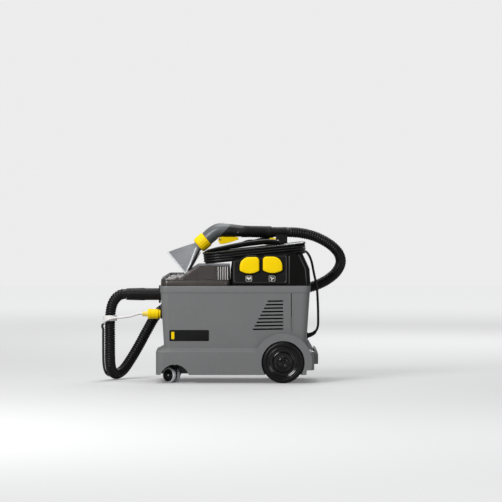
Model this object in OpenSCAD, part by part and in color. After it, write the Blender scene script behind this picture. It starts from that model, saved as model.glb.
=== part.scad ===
// Spot extractor: a compact spray-extraction cleaner on wheels, with its hand tool parked on top.
// Millimetres. +Z is up, -X is the front with the hose sockets, -Y is the side with the two buttons.
// The origin is on the floor, under the middle of the machine.

/* [Body] */
// Length over the skirt and the rear bumper
body_l = 526; // [520:2:540]
// Half width of the grey housing at its rim
rim_hy = 145; // [143:0.5:147]
// Height of the grey housing's rim above the floor
rim_z = 315; // [312:0.5:316]
// Half width of the skirt round the foot of the housing
skirt_hy = 160; // [158:0.5:161]
// Height of the underside above the floor
belly_z = 27; // [25:0.5:28]
// Wall thickness of the moulded shells
wall = 3; // [2.5:0.25:3.5]

/* [Wheels] */
// Radius of a rear wheel
wheel_r = 67; // [65:0.5:67.5]
// Width of a rear wheel
wheel_w = 38; // [36:0.5:38]
// Radius of a caster wheel
caster_r = 24.5; // [23:0.25:25]
// Distance from a caster's swivel axis to its wheel axle
caster_trail = 14; // [12:0.5:15]
// Angle at which the casters stand, from straight ahead
caster_turn = -40; // [-90:5:90]

/* [Controls] */
// Width of a push button
button_w = 68; // [60:1:68]
// Height of a push button
button_h = 56; // [50:1:57]

/* [Cord winding] */
// Tilt of the deck that the power cord is wound on
deck_tilt = 6; // [4:0.5:7]
// Diameter of the power cord
cord_d = 8; // [7:0.25:8.5]
// Side of the winding's square section
winding_s = 25; // [24:0.5:26]

/* [Hand tool] */
// Distance of the parked tool from the machine's middle plane
tool_y = 52; // [50:0.5:56]
// Outer radius of the tool's round grip
grip_r = 19.5; // [18:0.5:20]
// Width of the suction mouth
mouth_w = 110; // [100:1:115]
// Turn of the nozzle head about its own axis
mouth_roll = 33; // [25:1:40]

/* [Hoses] */
// Outer diameter of the suction hose
hose_d = 35; // [32:0.5:36]
// Outer diameter of the spray line
line_d = 8; // [6:0.5:9]

/* [Hidden] */
$fn = 32;
half_l = body_l / 2;

// Grey housing: outline at the waist above the skirt and at the rim
waist_z = 100;
waist_front = -236;
waist_rear = 223;
waist_hy = rim_hy - 7.5;
rim_front = -249;
rim_rear = 237;
skirt_rear = 250;
skirt_top = 101;

// Rear wheels
axle_x = 148.5;
axle_z = wheel_r;
axle_r = 5;
wheel_y1 = 165;
wheel_y0 = wheel_y1 - wheel_w;
well_r = wheel_r + 3;
well_y = 122;
fender_r = 94;
running = 0.05;

// Casters
caster_x = -202;
caster_y = 116;
arch_r = 48;
arch_z = 13;
arch_y = 70;
stem_r = 4;
stem_top = 82;

// Black upper housing
upper_x0 = -21.3;
upper_x1 = 238;
upper_hy = 139;
panel_y = -upper_hy;

// Deck frame: its middle, and heights above the winding plane
deck_x = 58;
deck_z = 405.4;
deck_hu = 167;
deck_hy = 128;
deck_r = 60;
flange_v = winding_s + 2;
flange_t = 4;
well_hy = 48;

// Front sockets
port_z = 283;
port_r = 20;
socket_y = -32;
socket_z = 220;
gland_y = -40;
gland_z = 150;

// Motor and pump
motor_x = 118;
motor_r = 78;
motor_z0 = 132;
motor_z1 = 292;
pump_y = -60;
pump_z = 75;
pan_z0 = belly_z + wall + 0.3;
pan_z1 = pan_z0 + 4;

// Tanks
fresh_x0 = -205;
fresh_x1 = -8;
fresh_z1 = 228;
tank_x1 = -22;
tank_z0 = 240;
tank_flange_z0 = rim_z + 0.5;
tank_flange_z1 = 332;

// Hand tool: grip, neck and nozzle axis, all in the plane y = tool_y
cuff_x0 = 112;
cuff_x1 = 166;
cuff_r = 16.5;
grip_z = 485;
tool_path = [[112, 485], [20, 487], [-30, 490], [-58, 490.5], [-97, 466]];
tool_radii = [19.5, 19.5, 23.5, 23.4, 23.5];
nut_c = [-114, 451];
nut_dir = [-0.76, 0, -0.65];
nut_tilt = atan2(nut_dir[0], nut_dir[2]);
nut_l = 36;
nut_r = 26.5;
trigger_hinge = [-58, 462];
stem_x = -28;
latch_y = tool_y - 24.7;
latch_z = 448.5;

// Mains plug, lying on the deck, and the end of its lead from the winding, in deck coordinates
plug_r = 18;
plug_u = 6;
plug_y = 102;
plug_v = winding_s + 2 + 4 + plug_r + 0.3;
lead_route = [
    [-112, 126, 20.5], [-96, 129.5, 21.5], [-80, 134, 24.5], [-64, 137.7, 32], [-48, 137.5, 41],
    [-34, 130, 48.5], [-20, 117, 51.3], [-8, 106, 50.2], [0, 102.4, 49.4], [7, 102, 49.3]
];

// Power cord from its gland up the rear wall to the winding
cord_route = [
    [230, -40, 150], [243, -40, 155], [255, -39, 176], [260, -37, 205], [262, -35, 240],
    [262, -33, 275], [260, -32, 305], [254, -31, 330], [248, -30, 352], [244, -30, 375],
    [241, -31, 391], [235, -35, 406], [228.5, -44, 418], [222.5, -58, 425.8]
];

// Suction hose from the front cuff, over the floor, along the far side and round to the tool
hose_route = [
    [-362.6, 0, 283], [-371, 0, 283], [-381, 0, 281], [-396, 0, 270], [-408, 0, 250], [-414, 0, 222],
    [-416, 0, 186], [-416, 0, 150], [-416, 1, 114], [-416, 6, 82], [-415, 18, 50], [-409, 40, 27],
    [-395, 68, 19], [-374, 98, 32], [-350, 122, 66], [-324, 140, 110], [-298, 152, 158],
    [-270, 160, 205], [-236, 165, 234], [-190, 167, 247], [-130, 168, 254], [-70, 168, 260],
    [-10, 168, 266], [50, 168, 272], [110, 168, 279], [170, 167, 287], [222, 164, 296],
    [262, 154, 308], [298, 138, 327], [326, 120, 352], [340, 102, 382], [334, 84, 412],
    [312, 70, 438], [280, 60, 459], [244, 54, 474], [206, 52, 482], [cuff_x1, 52, grip_z]
];
line_off = hose_d / 2 + line_d / 2 + 0.6;
clip_r = hose_d / 2 + 1.2;
strap_r = hose_d / 2 + 1.9;

// ---------- shared shapes ----------

// Block with rounded upright edges, centred on the middle plane
module slab(x0, x1, hy, z0, z1, r) {
    translate([x0 + r, -hy, z0])
        cube([x1 - x0 - 2 * r, 2 * hy, z1 - z0]);
    translate([x0, -hy + r, z0])
        cube([x1 - x0, 2 * (hy - r), z1 - z0]);
    for (x = [x0 + r, x1 - r], y = [r - hy, hy - r])
        translate([x, y, z0])
            cylinder(r = r, h = z1 - z0);
}

// Plain block from its low corner to its high corner
module block(lo, hi) {
    translate(lo)
        cube(hi - lo);
}

// Tapered round bar between two points
module rod(a, b, r1, r2) {
    d = b - a;
    l = norm(d);
    translate(a)
        rotate([0, acos(d.z / l), atan2(d.y, d.x)])
            cylinder(h = l, r1 = r1, r2 = r2);
}

module both_sides() {
    children();
    mirror([0, 1, 0])
        children();
}

// Frame of the tilted winding deck: u along the deck, v up from the winding plane
module on_deck() {
    translate([deck_x, 0, deck_z])
        rotate([0, -deck_tilt, 0])
            children();
}

// ---------- swept tubes ----------

function unit(v) = v / norm(v);
function catmull(a, b, c, d, t) =
    0.5 * ((2 * b) + (c - a) * t + (2 * a - 5 * b + 4 * c - d) * t * t
    + (3 * b - a - 3 * c + d) * t * t * t);
function at(p, i) = p[max(0, min(len(p) - 1, i))];
function smooth(p, steps) = [
    for (i = [0:len(p) - 2], k = [0:steps - 1])
        catmull(at(p, i - 1), p[i], p[i + 1], at(p, i + 2), k / steps),
    p[len(p) - 1]
];
function tangent(p, i) = unit(at(p, i + 1) - at(p, i - 1));
// A side vector carried along the path without twist
function carry(p, i, side) =
    i >= len(p) ? [] :
    let (t = tangent(p, i), s = unit(side - (side * t) * t))
    concat([s], carry(p, i + 1, s));
function beside(p, sides, dist) = [for (i = [0:len(p) - 1]) p[i] + sides[i] * dist];

module sweep(p, r, sides, first) {
    s = carry(p, 0, first);
    n = len(p);
    rings = [
        for (i = [0:n - 1])
            let (t = tangent(p, i), u = s[i], v = cross(t, u))
                for (k = [0:sides - 1])
                    p[i] + r * (cos(360 * k / sides) * u + sin(360 * k / sides) * v)
    ];
    walls = [
        for (i = [0:n - 2], k = [0:sides - 1])
            let (a = i * sides + k, b = i * sides + (k + 1) % sides)
                [a, a + sides, b + sides, b]
    ];
    start = [[for (k = [0:sides - 1]) k]];
    end = [[for (k = [0:sides - 1]) (n - 1) * sides + sides - 1 - k]];
    polyhedron(points = rings, faces = concat(start, walls, end), convexity = 8);
}

// ---------- grey base housing ----------

module tub(g) {
    hull() {
        slab(waist_front - g, waist_rear + g, waist_hy + g, waist_z, waist_z + 1, 22 + g);
        slab(rim_front - g, rim_rear + g, rim_hy + g, rim_z - 1, rim_z, 24 + g);
    }
}

module skirt(g) {
    slab(-half_l - g, skirt_rear + g, skirt_hy + g, belly_z - g, skirt_top, 26 + g);
    hull() {
        slab(-half_l - g, skirt_rear + g, skirt_hy + g, skirt_top - 1, skirt_top, 26 + g);
        slab(waist_front - g, waist_rear + g, waist_hy + g, 114 + g, 115 + g, 22 + g);
    }
    hull() {
        slab(0, skirt_rear + g, 118, skirt_top - 1, skirt_top, 12);
        slab(0, waist_rear + 6 + g, 118, 136 + g, 137 + g, 12);
    }
}

module wheel_space(r, y) {
    both_sides()
        translate([axle_x, y, axle_z])
            rotate([-90, 0, 0])
                cylinder(r = r, h = 60, $fn = 96);
}

module caster_space(r, y) {
    both_sides()
        translate([caster_x, y, arch_z])
            rotate([-90, 0, 0])
                cylinder(r = r, h = 110, $fn = 96);
}

module fenders(r, y0, y1) {
    both_sides()
        translate([axle_x, y0, axle_z])
            rotate([-90, 0, 0])
                cylinder(r = r, h = y1 - y0, $fn = 96);
}

module vent_slots() {
    rows = 9;
    right = 147;
    for (i = [0:rows - 1]) {
        left = 53 + i * 6;
        translate([left, -160, 174 + i * 11.4])
            rotate([0, -0.9, 0]) {
                translate([0, 0, -2.5])
                    cube([right - left, 320, 5]);
                for (x = [0, right - left])
                    translate([x, 0, 0])
                        rotate([-90, 0, 0])
                            cylinder(r = 2.5, h = 320);
            }
    }
}

module base_cavity() {
    difference() {
        union() {
            tub(-wall);
            translate([0, 0, rim_z - 1])
                slab(rim_front + wall, rim_rear - wall, rim_hy - wall, 0, 3, 21);
            skirt(-wall);
            fenders(fender_r - wall, well_y + wall, skirt_hy - wall);
        }
        wheel_space(well_r + wall, well_y - wall);
        caster_space(arch_r + wall, arch_y - wall);
        both_sides()
            translate([caster_x, caster_y, arch_z])
                cylinder(r = 9, h = stem_top + 3 - arch_z);
        block([-300, -200, 0], [300, 200, belly_z + wall]);
    }
}

module base_housing() {
    color("dimgray")
        difference() {
            union() {
                tub(0);
                skirt(0);
                fenders(fender_r, well_y - wall, skirt_hy);
            }
            base_cavity();
            block([-300, -200, -60], [300, 200, belly_z]);
            block([skirt_rear - 25, -200, 0], [300, 200, 42]);
            wheel_space(well_r, well_y);
            caster_space(arch_r, arch_y);
            both_sides()
                translate([caster_x, caster_y, arch_z])
                    cylinder(r = stem_r + running, h = stem_top - arch_z + 0.5);
            translate([axle_x, -200, axle_z])
                rotate([-90, 0, 0])
                    cylinder(r = axle_r + running, h = 400);
            vent_slots();
            both_sides()
                block([174, rim_hy - 6.5, 168], [176.5, rim_hy + 5, 296]);
            translate([-300, 0, port_z])
                rotate([0, 90, 0])
                    cylinder(r = port_r + 0.3, h = 100);
            translate([-300, socket_y, socket_z])
                rotate([0, 90, 0])
                    cylinder(r = 11.3, h = 100);
            translate([200, gland_y, gland_z])
                rotate([0, 90, 0])
                    cylinder(r = 8.3, h = 60);
            screw_points() {
                cylinder(r = 2.6, h = 30, center = true);
                translate([0, 0, -2])
                    cylinder(r = 5, h = 4);
            }
        }
}

// Floor plate that carries the motor's posts, and the pump
module floor_pan() {
    posts = [[63, 0], [124, 58], [124, -58], [182, 0]];
    color("darkslategray")
        difference() {
            union() {
                slab(8, 214, 112, pan_z0, pan_z1, 10);
                for (p = posts)
                    translate([p.x, p.y, pan_z0])
                        cylinder(r = 7, h = motor_z0 - pan_z0 - 0.2);
            }
            screw_points()
                cylinder(r = 2.6, h = 30, center = true);
        }
}

module screw_points() {
    for (x = [24, 198], y = [-96, 96])
        translate([x, y, belly_z])
            children();
}

module housing_screws() {
    color("silver") {
        screw_points() {
            translate([0, 0, 0.2])
                cylinder(r = 4.5, h = 1.7);
            translate([0, 0, 1.8])
                cylinder(r = 2.5, h = 7);
        }
        on_deck()
            for (p = [[-150, 38.75, -15.4], [80, 45.44, 19.9]])
                translate([p.x, 0, p.y])
                    rotate([0, p.z, 0])
                        translate([0, 0, 0.1])
                            cylinder(r = 4, h = 1.8);
    }
}

module rear_bumper() {
    profile = [
        [250.3, 60], [half_l - 1, 60], [half_l, 63], [half_l, 92], [258, 104], [252, 110], [250.3, 110]
    ];
    color("black")
        difference() {
            translate([0, 110, 0])
                rotate([90, 0, 0])
                    linear_extrude(220)
                        polygon(profile);
            hull() {
                slab(0, skirt_rear + 0.3, 118, skirt_top - 1, skirt_top, 12);
                slab(0, waist_rear + 6.3, 118, 136, 137, 12);
            }
        }
}

// ---------- rear wheels ----------

module wheel(side) {
    w0 = wheel_y0;
    w1 = wheel_y1;
    profile = [
        [axle_r + running, w0 + 2], [20, w0 + 2], [24, w0], [wheel_r - 4, w0], [wheel_r, w0 + 4],
        [wheel_r, w1 - 7], [wheel_r - 6, w1 - 1], [50, w1 - 2], [46, w1 - 10], [34, w1 - 10],
        [31, w1 - 3], [20, w1 - 3], [18, w1 - 2], [16.1, w1 - 2], [16.1, w1 - 8], [axle_r + running, w1 - 8]
    ];
    color("black")
        translate([axle_x, 0, axle_z])
            rotate([side * 90, 0, 0])
                rotate_extrude($fn = 96)
                    polygon(profile);
}

module rear_wheel_near() {
    wheel(1);
}

module rear_wheel_far() {
    wheel(-1);
}

module hub_cap(side) {
    color("black")
        translate([axle_x, -side * (wheel_y1 - 4.5), axle_z])
            rotate([side * 90, 0, 0]) {
                cylinder(r = 16, h = 2.5);
                translate([0, 0, 2.2])
                    cylinder(r = 8, h = 2.3);
            }
}

module hub_cap_near() {
    hub_cap(1);
}

module hub_cap_far() {
    hub_cap(-1);
}

module rear_axle() {
    color("silver")
        translate([axle_x, -159, axle_z])
            rotate([-90, 0, 0])
                cylinder(r = axle_r, h = 318);
}

module axle_clips() {
    color("silver")
        both_sides()
            translate([axle_x, 157.3, axle_z])
                rotate([-90, 0, 0])
                    difference() {
                        cylinder(r = 9, h = 1.4);
                        translate([0, 0, -1])
                            cylinder(r = axle_r, h = 4);
                    }
}

// ---------- casters ----------

module at_caster(side) {
    translate([caster_x, -side * caster_y, 0])
        rotate([0, 0, side * caster_turn])
            children();
}

module caster_fork(side) {
    color([0.1, 0.1, 0.1])
        at_caster(side) {
            translate([0, 0, caster_r + 12])
                cylinder(r = stem_r, h = stem_top - caster_r - 12);
            translate([-caster_trail, 4, caster_r])
                rotate([90, 0, 0])
                    cylinder(r = 20, h = 8);
            translate([-6, -4, caster_r])
                cube([13, 8, 28]);
            translate([0, 0, caster_r + 27])
                cylinder(r = 11, h = 5);
            translate([-caster_trail, 16.5, caster_r])
                rotate([90, 0, 0])
                    cylinder(r = 3, h = 33);
        }
}

module caster_fork_near() {
    caster_fork(1);
}

module caster_fork_far() {
    caster_fork(-1);
}

module caster_wheels(side) {
    profile = [
        [3 + running, 4.5], [20, 4.5], [caster_r - 1.5, 4.5], [caster_r, 6],
        [caster_r, 15.5], [caster_r - 2.5, 18], [19, 18], [17, 16.8], [3 + running, 16.8]
    ];
    color("lightgray")
        at_caster(side)
            for (way = [1, -1])
                translate([-caster_trail, 0, caster_r])
                    rotate([way * 90, 0, 0])
                        rotate_extrude($fn = 64)
                            polygon(profile);
}

module caster_wheels_near() {
    caster_wheels(1);
}

module caster_wheels_far() {
    caster_wheels(-1);
}

// ---------- black upper housing and controls ----------

module upper_solid(g) {
    hull() {
        slab(upper_x0 - g, upper_x1 + g, upper_hy + g, rim_z + 0.5 - max(0, -g), rim_z + 2, 20 + g);
        slab(upper_x0 - g, upper_x1 - 3 + g, upper_hy + g, 368, 369, 20 + g);
        on_deck()
            slab(-76 - g, 155 + g, upper_hy - 2 + g, -5.3 + g, -4.3 + g, 20 + g);
    }
}

// Side lips that stand up in front of the winding's lower turns
module side_lips() {
    both_sides()
        intersection() {
            on_deck()
                block([-70, upper_hy - 5.6, -12], [130, upper_hy - 2.4, 8]);
            block([-30, 100, 340], [260, 200, 440]);
        }
}

module upper_housing() {
    color([0.06, 0.06, 0.06])
        difference() {
            union() {
                difference() {
                    upper_solid(0);
                    upper_solid(-wall);
                    block([-30, -200, rim_z - 10], [260, 200, rim_z + 0.5]);
                }
                side_lips();
            }
            for (i = [0, 1])
                button_place(i)
                    translate([0, 0, 131])
                        linear_extrude(30)
                            button_outline(i, 1.5);
        }
}

module button_outline(flip, g = 0) {
    mirror([flip, 0])
        hull() {
            translate([-button_w / 2 + 30, button_h / 2 - 30])
                circle(r = 30 + g);
            translate([button_w / 2 - 12, button_h / 2 - 12])
                circle(r = 12 + g);
            translate([button_w / 2 - 7, -button_h / 2 + 13])
                circle(r = 7 + g);
            translate([-button_w / 2 + 7, -button_h / 2 + 13])
                circle(r = 7 + g);
            for (x = [-10, 10])
                translate([x, -button_h / 2 + 8.6])
                    circle(r = 8.6 + g);
        }
}

module button_place(i) {
    translate([[40, 115][i], 0, [381.5, 383][i]])
        rotate([90, 0, 0])
            children();
}

module control_panel() {
    outline = [[-14, 322], [163, 322], [163, 417], [-14, 399]];
    color([0.08, 0.08, 0.08])
        difference() {
            translate([0, panel_y - 0.2, 0])
                rotate([90, 0, 0])
                    linear_extrude(3)
                        polygon(outline);
            for (i = [0, 1])
                button_place(i)
                    translate([0, 0, 130])
                        linear_extrude(30)
                            button_outline(i, 0.7);
        }
}

module button(i) {
    color("gold")
        button_place(i) {
            hull() {
                translate([0, 0, 139.6])
                    linear_extrude(8)
                        button_outline(i);
                translate([0, 0, 151])
                    linear_extrude(1)
                        button_outline(i, -4);
            }
            translate([0, 0, 132.5])
                cylinder(r = 6, h = 8);
        }
}

module pump_button() {
    button(0);
}

module suction_button() {
    button(1);
}

module switch_blocks() {
    color("dimgray")
        for (i = [0, 1])
            button_place(i) {
                translate([-18, -18, 104])
                    cube([36, 22, 22]);
                translate([-18, 3.9, 104])
                    cube([36, [8.6, 14.8][i], 5]);
            }
}

// ---------- winding deck and handle ----------

module racetrack(hu, hy, r, v0, v1) {
    slab(-hu, hu, hy, v0, v1, r);
}

module cord_deck() {
    core = winding_s + 1;
    color([0.05, 0.05, 0.05])
        on_deck()
            difference() {
                union() {
                    racetrack(deck_hu - core, deck_hy - core, deck_r - core, -4, flange_v + 0.5);
                    racetrack(deck_hu + 1, deck_hy + 2, deck_r, flange_v, flange_v + flange_t);
                    racetrack(deck_hu - 4, deck_hy - 3, deck_r - 4, -4, -0.5);
                }
                block([-80, -well_hy, 0], [62, well_hy, 60]);
                for (s = [-1, 1])
                    translate([0, s * 76, 0])
                        block([-120, -20, 0], [120, 20, flange_v - 3]);
            }
}

module carry_handle() {
    top = [
        [-160, 36], [-140, 41.5], [-100, 46.5], [-50, 51.5], [0, 54], [40, 54],
        [66, 50.5], [84, 44], [90, 38]
    ];
    under = [
        [90, 31.2], [66, 31.2], [58, 35], [40, 36.5], [0, 36.5], [-40, 35.5], [-74, 33.5], [-86, 31.2]
    ];
    color([0.06, 0.06, 0.06])
        on_deck()
            translate([0, 15, 0])
                rotate([90, 0, 0])
                    linear_extrude(30)
                        polygon(concat([[-162, 31.2]], top, under));
}

module cord_coil() {
    color([0.03, 0.03, 0.03])
        on_deck()
            difference() {
                racetrack(deck_hu, deck_hy, deck_r, 0.5, winding_s + 0.5);
                racetrack(deck_hu - winding_s, deck_hy - winding_s, deck_r - winding_s, -1, winding_s + 2);
            }
}

module mains_plug() {
    color([0.05, 0.05, 0.05])
        on_deck()
            translate([plug_u, plug_y, plug_v])
                rotate([0, 90, 0]) {
                    cylinder(r1 = 5.5, r2 = 10, h = 26);
                    translate([0, 0, 26])
                        cylinder(r1 = 14, r2 = plug_r, h = 14);
                    translate([0, 0, 40])
                        cylinder(r = plug_r, h = 20);
                    for (y = [-9.5, 9.5])
                        translate([0, y, 59])
                            cylinder(r = 2.4, h = 20);
                }
}

// ---------- tanks ----------

module fresh_water_tank() {
    color("whitesmoke")
        difference() {
            union() {
                slab(fresh_x0, fresh_x1, 128, 92, fresh_z1, 18);
                slab(fresh_x0, fresh_x1, 60, 33, 93, 14);
            }
            slab(fresh_x0 + wall, fresh_x1 - wall, 125, 95, fresh_z1 + 1, 15);
            slab(fresh_x0 + wall, fresh_x1 - wall, 57, 36, 96, 11);
            translate([fresh_x1 - 10, -40, 48])
                rotate([0, 90, 0])
                    cylinder(r = 5.2, h = 30);
        }
}

module tank_body(g) {
    hull() {
        slab(-236 - g, tank_x1 - 6 + g, 131 + g, tank_z0 - g, tank_z0 - g + 1, 18 + g);
        slab(-243 - g, tank_x1 - 1 + g, 138 + g, tank_flange_z0 - 1, tank_flange_z0, 20 + g);
    }
}

module recovery_tank() {
    color([0.25, 0.23, 0.22, 0.6])
        difference() {
            union() {
                tank_body(0);
                slab(rim_front + 3, tank_x1, 142, tank_flange_z0, tank_flange_z1, 22);
            }
            tank_body(-wall);
            slab(rim_front + 6, tank_x1 - wall, 139, tank_flange_z0 - 0.5, tank_flange_z1 + 1, 19);
            translate([-300, 0, port_z])
                rotate([0, 90, 0])
                    cylinder(r = port_r + 0.3, h = 100);
        }
}

module lid_solid(g) {
    z0 = tank_flange_z1 + 0.4;
    hull() {
        slab(-246 - g, -150, 140 + g, z0, z0 + 3, 20 + g);
        slab(-222 - g, -150, 128 + g, 349 + g, 350 + g, 18 + g);
    }
    hull() {
        slab(-196 - g, tank_x1 - 0.5 + g, 139 + g, z0, z0 + 3, 12);
        slab(-128 - g, tank_x1 - 2 + g, 128 + g, 379 + g, 380 + g, 12);
    }
}

module nozzle_pocket(g) {
    translate([0, tool_y - 2, 0])
        slab(-238 - g, -128 + g, 50 + g, 322 - g, 420, 12);
}

module tank_lid() {
    color([0.3, 0.28, 0.27, 0.5])
        difference() {
            union() {
                difference() {
                    lid_solid(0);
                    lid_solid(-2.5);
                    block([-300, -200, 300], [0, 200, tank_flange_z1 + 0.4]);
                }
                intersection() {
                    nozzle_pocket(2.5);
                    union() {
                        lid_solid(0);
                        block([-238, -20, 319], [-130, 110, 340]);
                    }
                }
            }
            nozzle_pocket(0);
        }
}

module lid_seal() {
    z0 = tank_flange_z1 - 4;
    color("black")
        difference() {
            slab(rim_front + 6.3, tank_x1 - wall - 0.3, 138.7, z0, z0 + 4, 18.7);
            slab(rim_front + 10, tank_x1 - wall - 4, 135, z0 - 1, z0 + 6, 15);
        }
}

module float_cage() {
    color("whitesmoke")
        translate([-56, -50, 0])
            difference() {
                translate([0, 0, 300])
                    cylinder(r = 20, h = 76);
                translate([0, 0, 303])
                    cylinder(r = 17, h = 70);
                for (a = [0, 60, 120])
                    rotate([0, 0, a])
                        translate([-30, -4, 308])
                            cube([60, 8, 50]);
            }
}

module float_ball() {
    color("gold")
        translate([-56, -50, 318.4])
            sphere(r = 15);
}

// ---------- front sockets and inner pipes ----------

module suction_port() {
    color("black")
        translate([0, 0, port_z]) {
            translate([-256, 0, 0])
                rotate([0, 90, 0])
                    difference() {
                        cylinder(r = 29, h = 6);
                        translate([0, 0, -1])
                            cylinder(r = port_r - 2.5, h = 20);
                    }
            translate([-251, 0, 0])
                rotate([0, 90, 0])
                    difference() {
                        cylinder(r = port_r, h = 22);
                        translate([0, 0, -1])
                            cylinder(r = port_r - 2.5, h = 40);
                    }
        }
}

module suction_elbow() {
    color("black")
        difference() {
            union() {
                translate([-228.7, 0, port_z])
                    rotate([0, 90, 0])
                        cylinder(r = port_r, h = 20);
                translate([-209, 0, port_z])
                    sphere(r = port_r);
                translate([-209, 0, 250])
                    cylinder(r = port_r, h = 33);
            }
            translate([-229, 0, port_z])
                rotate([0, 90, 0])
                    cylinder(r = port_r - 3, h = 22);
            translate([-209, 0, port_z])
                sphere(r = port_r - 3);
            translate([-209, 0, 249])
                cylinder(r = port_r - 3, h = 34);
        }
}

module spray_socket() {
    color("black")
        translate([-248.3, socket_y, socket_z])
            rotate([0, 90, 0])
                difference() {
                    union() {
                        cylinder(r = 17, h = 3.6);
                        cylinder(r = 11, h = 26);
                        translate([0, 0, 26])
                            cylinder(r = 5, h = 8);
                    }
                    translate([0, 0, -1])
                        cylinder(r = 7.2, h = 22);
                    cylinder(r = 2.5, h = 60);
                }
}

module chain(points, r) {
    for (i = [0:len(points) - 2])
        rod(points[i], points[i + 1], r, r);
    for (i = [1:len(points) - 2])
        translate(points[i])
            sphere(r = r);
}

module pump_hoses() {
    color("lightblue") {
        chain([[-14, -40, 48], [2, -40, 48], [4, -52, 66], [11.9, pump_y, pump_z]], 5);
        chain([[98.3, pump_y, pump_z], [106, -60, 90], [104, -96, 110], [60, -118, 150], [10, -118, 234],
            [-196, -118, 234], [-209, -90, 233], [-209, -44, 231], [-209.2, socket_y, socket_z],
            [-214, socket_y, socket_z]], 3.5);
    }
}

module hose_cuff() {
    color([0.05, 0.05, 0.05])
        translate([-362, 0, port_z])
            rotate([0, 90, 0])
                difference() {
                    union() {
                        cylinder(r1 = 19, r2 = 20.5, h = 60);
                        translate([0, 0, 60])
                            cylinder(r = 19.5, h = 45.7);
                        translate([0, 0, 105.5])
                            cylinder(r = 17.3, h = 12);
                    }
                    translate([0, 0, 8])
                        cylinder(r = 14, h = 112);
                }
}

module spray_coupling() {
    color([0.85, 0.85, 0.8])
        translate([-309, socket_y, socket_z])
            rotate([0, 90, 0])
                difference() {
                    union() {
                        cylinder(r = 8, h = 16);
                        translate([0, 0, 16])
                            cylinder(r = 9, h = 39);
                        translate([0, 0, 55])
                            cylinder(r = 7.1, h = 24);
                    }
                    translate([0, 0, 4])
                        cylinder(r = 2.5, h = 80);
                }
}

module coupling_sleeve() {
    color("gold")
        translate([-292, socket_y, socket_z])
            rotate([0, 90, 0])
                difference() {
                    union() {
                        cylinder(r = 16, h = 35);
                        translate([0, 0, 34.9])
                            cylinder(r = 13, h = 7);
                    }
                    translate([0, 0, -1])
                        cylinder(r = 9 + running, h = 50);
                }
}

// ---------- motor and pump ----------

module motor_housing() {
    color("dimgray")
        translate([motor_x, 0, motor_z0])
            difference() {
                cylinder(r = motor_r, h = motor_z1 - motor_z0);
                translate([0, 0, wall])
                    cylinder(r = motor_r - wall, h = motor_z1 - motor_z0 - 2 * wall);
                translate([0, 0, 100])
                    cylinder(r = 18, h = 100);
                cylinder(r = 8, h = 60, center = true);
            }
}

module motor_can() {
    color("silver")
        translate([motor_x, 0, motor_z0 + wall + 0.2])
            difference() {
                union() {
                    cylinder(r = motor_r - wall - 0.3, h = 4);
                    cylinder(r = 62, h = 70);
                    translate([0, 0, 69.9])
                        cylinder(r = 38, h = 62);
                }
                translate([0, 0, 4])
                    cylinder(r = 58, h = 62);
                translate([0, 0, 60])
                    cylinder(r = 34, h = 68);
                cylinder(r = 6 + running, h = 300, center = true);
            }
}

module turbine_rotor() {
    color("darkgoldenrod")
        translate([motor_x, 0, motor_z0 + wall + 0.2]) {
            translate([0, 0, -2])
                cylinder(r = 6, h = 132);
            for (z = [12, 38])
                translate([0, 0, z])
                    cylinder(r = 54, h = 12);
            translate([0, 0, 78])
                cylinder(r = 28, h = 40);
        }
}

module pump_body() {
    color("whitesmoke")
        difference() {
            union() {
                translate([12, pump_y, pump_z])
                    rotate([0, 90, 0])
                        cylinder(r = 22, h = 86);
                block([24, pump_y - 18, pan_z1 + 0.1], [86, pump_y + 18, pump_z]);
            }
            translate([20, pump_y, pump_z])
                rotate([0, 90, 0])
                    cylinder(r = 6 + running, h = 70);
        }
}

module pump_plunger() {
    color("silver")
        translate([32, pump_y, pump_z])
            rotate([0, 90, 0])
                cylinder(r = 6, h = 46);
}

module mains_gland() {
    color("black")
        translate([0, gland_y, gland_z])
            rotate([0, 90, 0])
                difference() {
                    union() {
                        translate([0, 0, 208])
                            cylinder(r = 8, h = 20);
                        translate([0, 0, 227.5])
                            cylinder(r1 = 11, r2 = 7, h = 5);
                    }
                    translate([0, 0, 200])
                        cylinder(r = cord_d / 2, h = 40);
                }
}

// ---------- hand tool ----------

function tool_point(i) = [tool_path[i].x, tool_y, tool_path[i].y];

module tool_run(first, last, g) {
    for (i = [first:last - 1])
        hull()
            for (k = [i, i + 1])
                translate(tool_point(k))
                    sphere(r = tool_radii[k] + g);
}

module trigger_slot() {
    block([-52, tool_y - 9, 440], [12, tool_y + 9, 479]);
}

module tool_grip() {
    color([0.07, 0.07, 0.07])
        difference() {
            rod(tool_point(0), tool_point(1), grip_r, grip_r);
            rod(tool_point(0) + [1, 0, 0], tool_point(1) - [1, 0, 0], 15, 15);
            trigger_slot();
        }
}

module tool_neck() {
    hinge_y = [tool_y - 14, tool_y + 9.4];
    color([0.27, 0.3, 0.3])
        difference() {
            union() {
                tool_run(1, 4, 0);
                for (y = hinge_y)
                    block([-66, y, 452], [-46, y + 4.6, 478]);
            }
            rod(tool_point(1) - [0.3, 0, 0], tool_point(0), 30, 30);
            tool_run(1, 4, -5);
            on_nozzle()
                translate([0, 0, -nut_l / 2 - 0.3])
                    cylinder(r = 40, h = 40);
            rod([nut_c.x, tool_y, nut_c.y], [nut_c.x, tool_y, nut_c.y] - 30 * nut_dir, 17, 17);
            trigger_slot();
            block([-66, tool_y - 9, 440], [-40, tool_y + 9, 474]);
            translate([trigger_hinge.x, tool_y - 20, trigger_hinge.y])
                rotate([-90, 0, 0])
                    cylinder(r = 2.5 + running, h = 40);
        }
}

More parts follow.
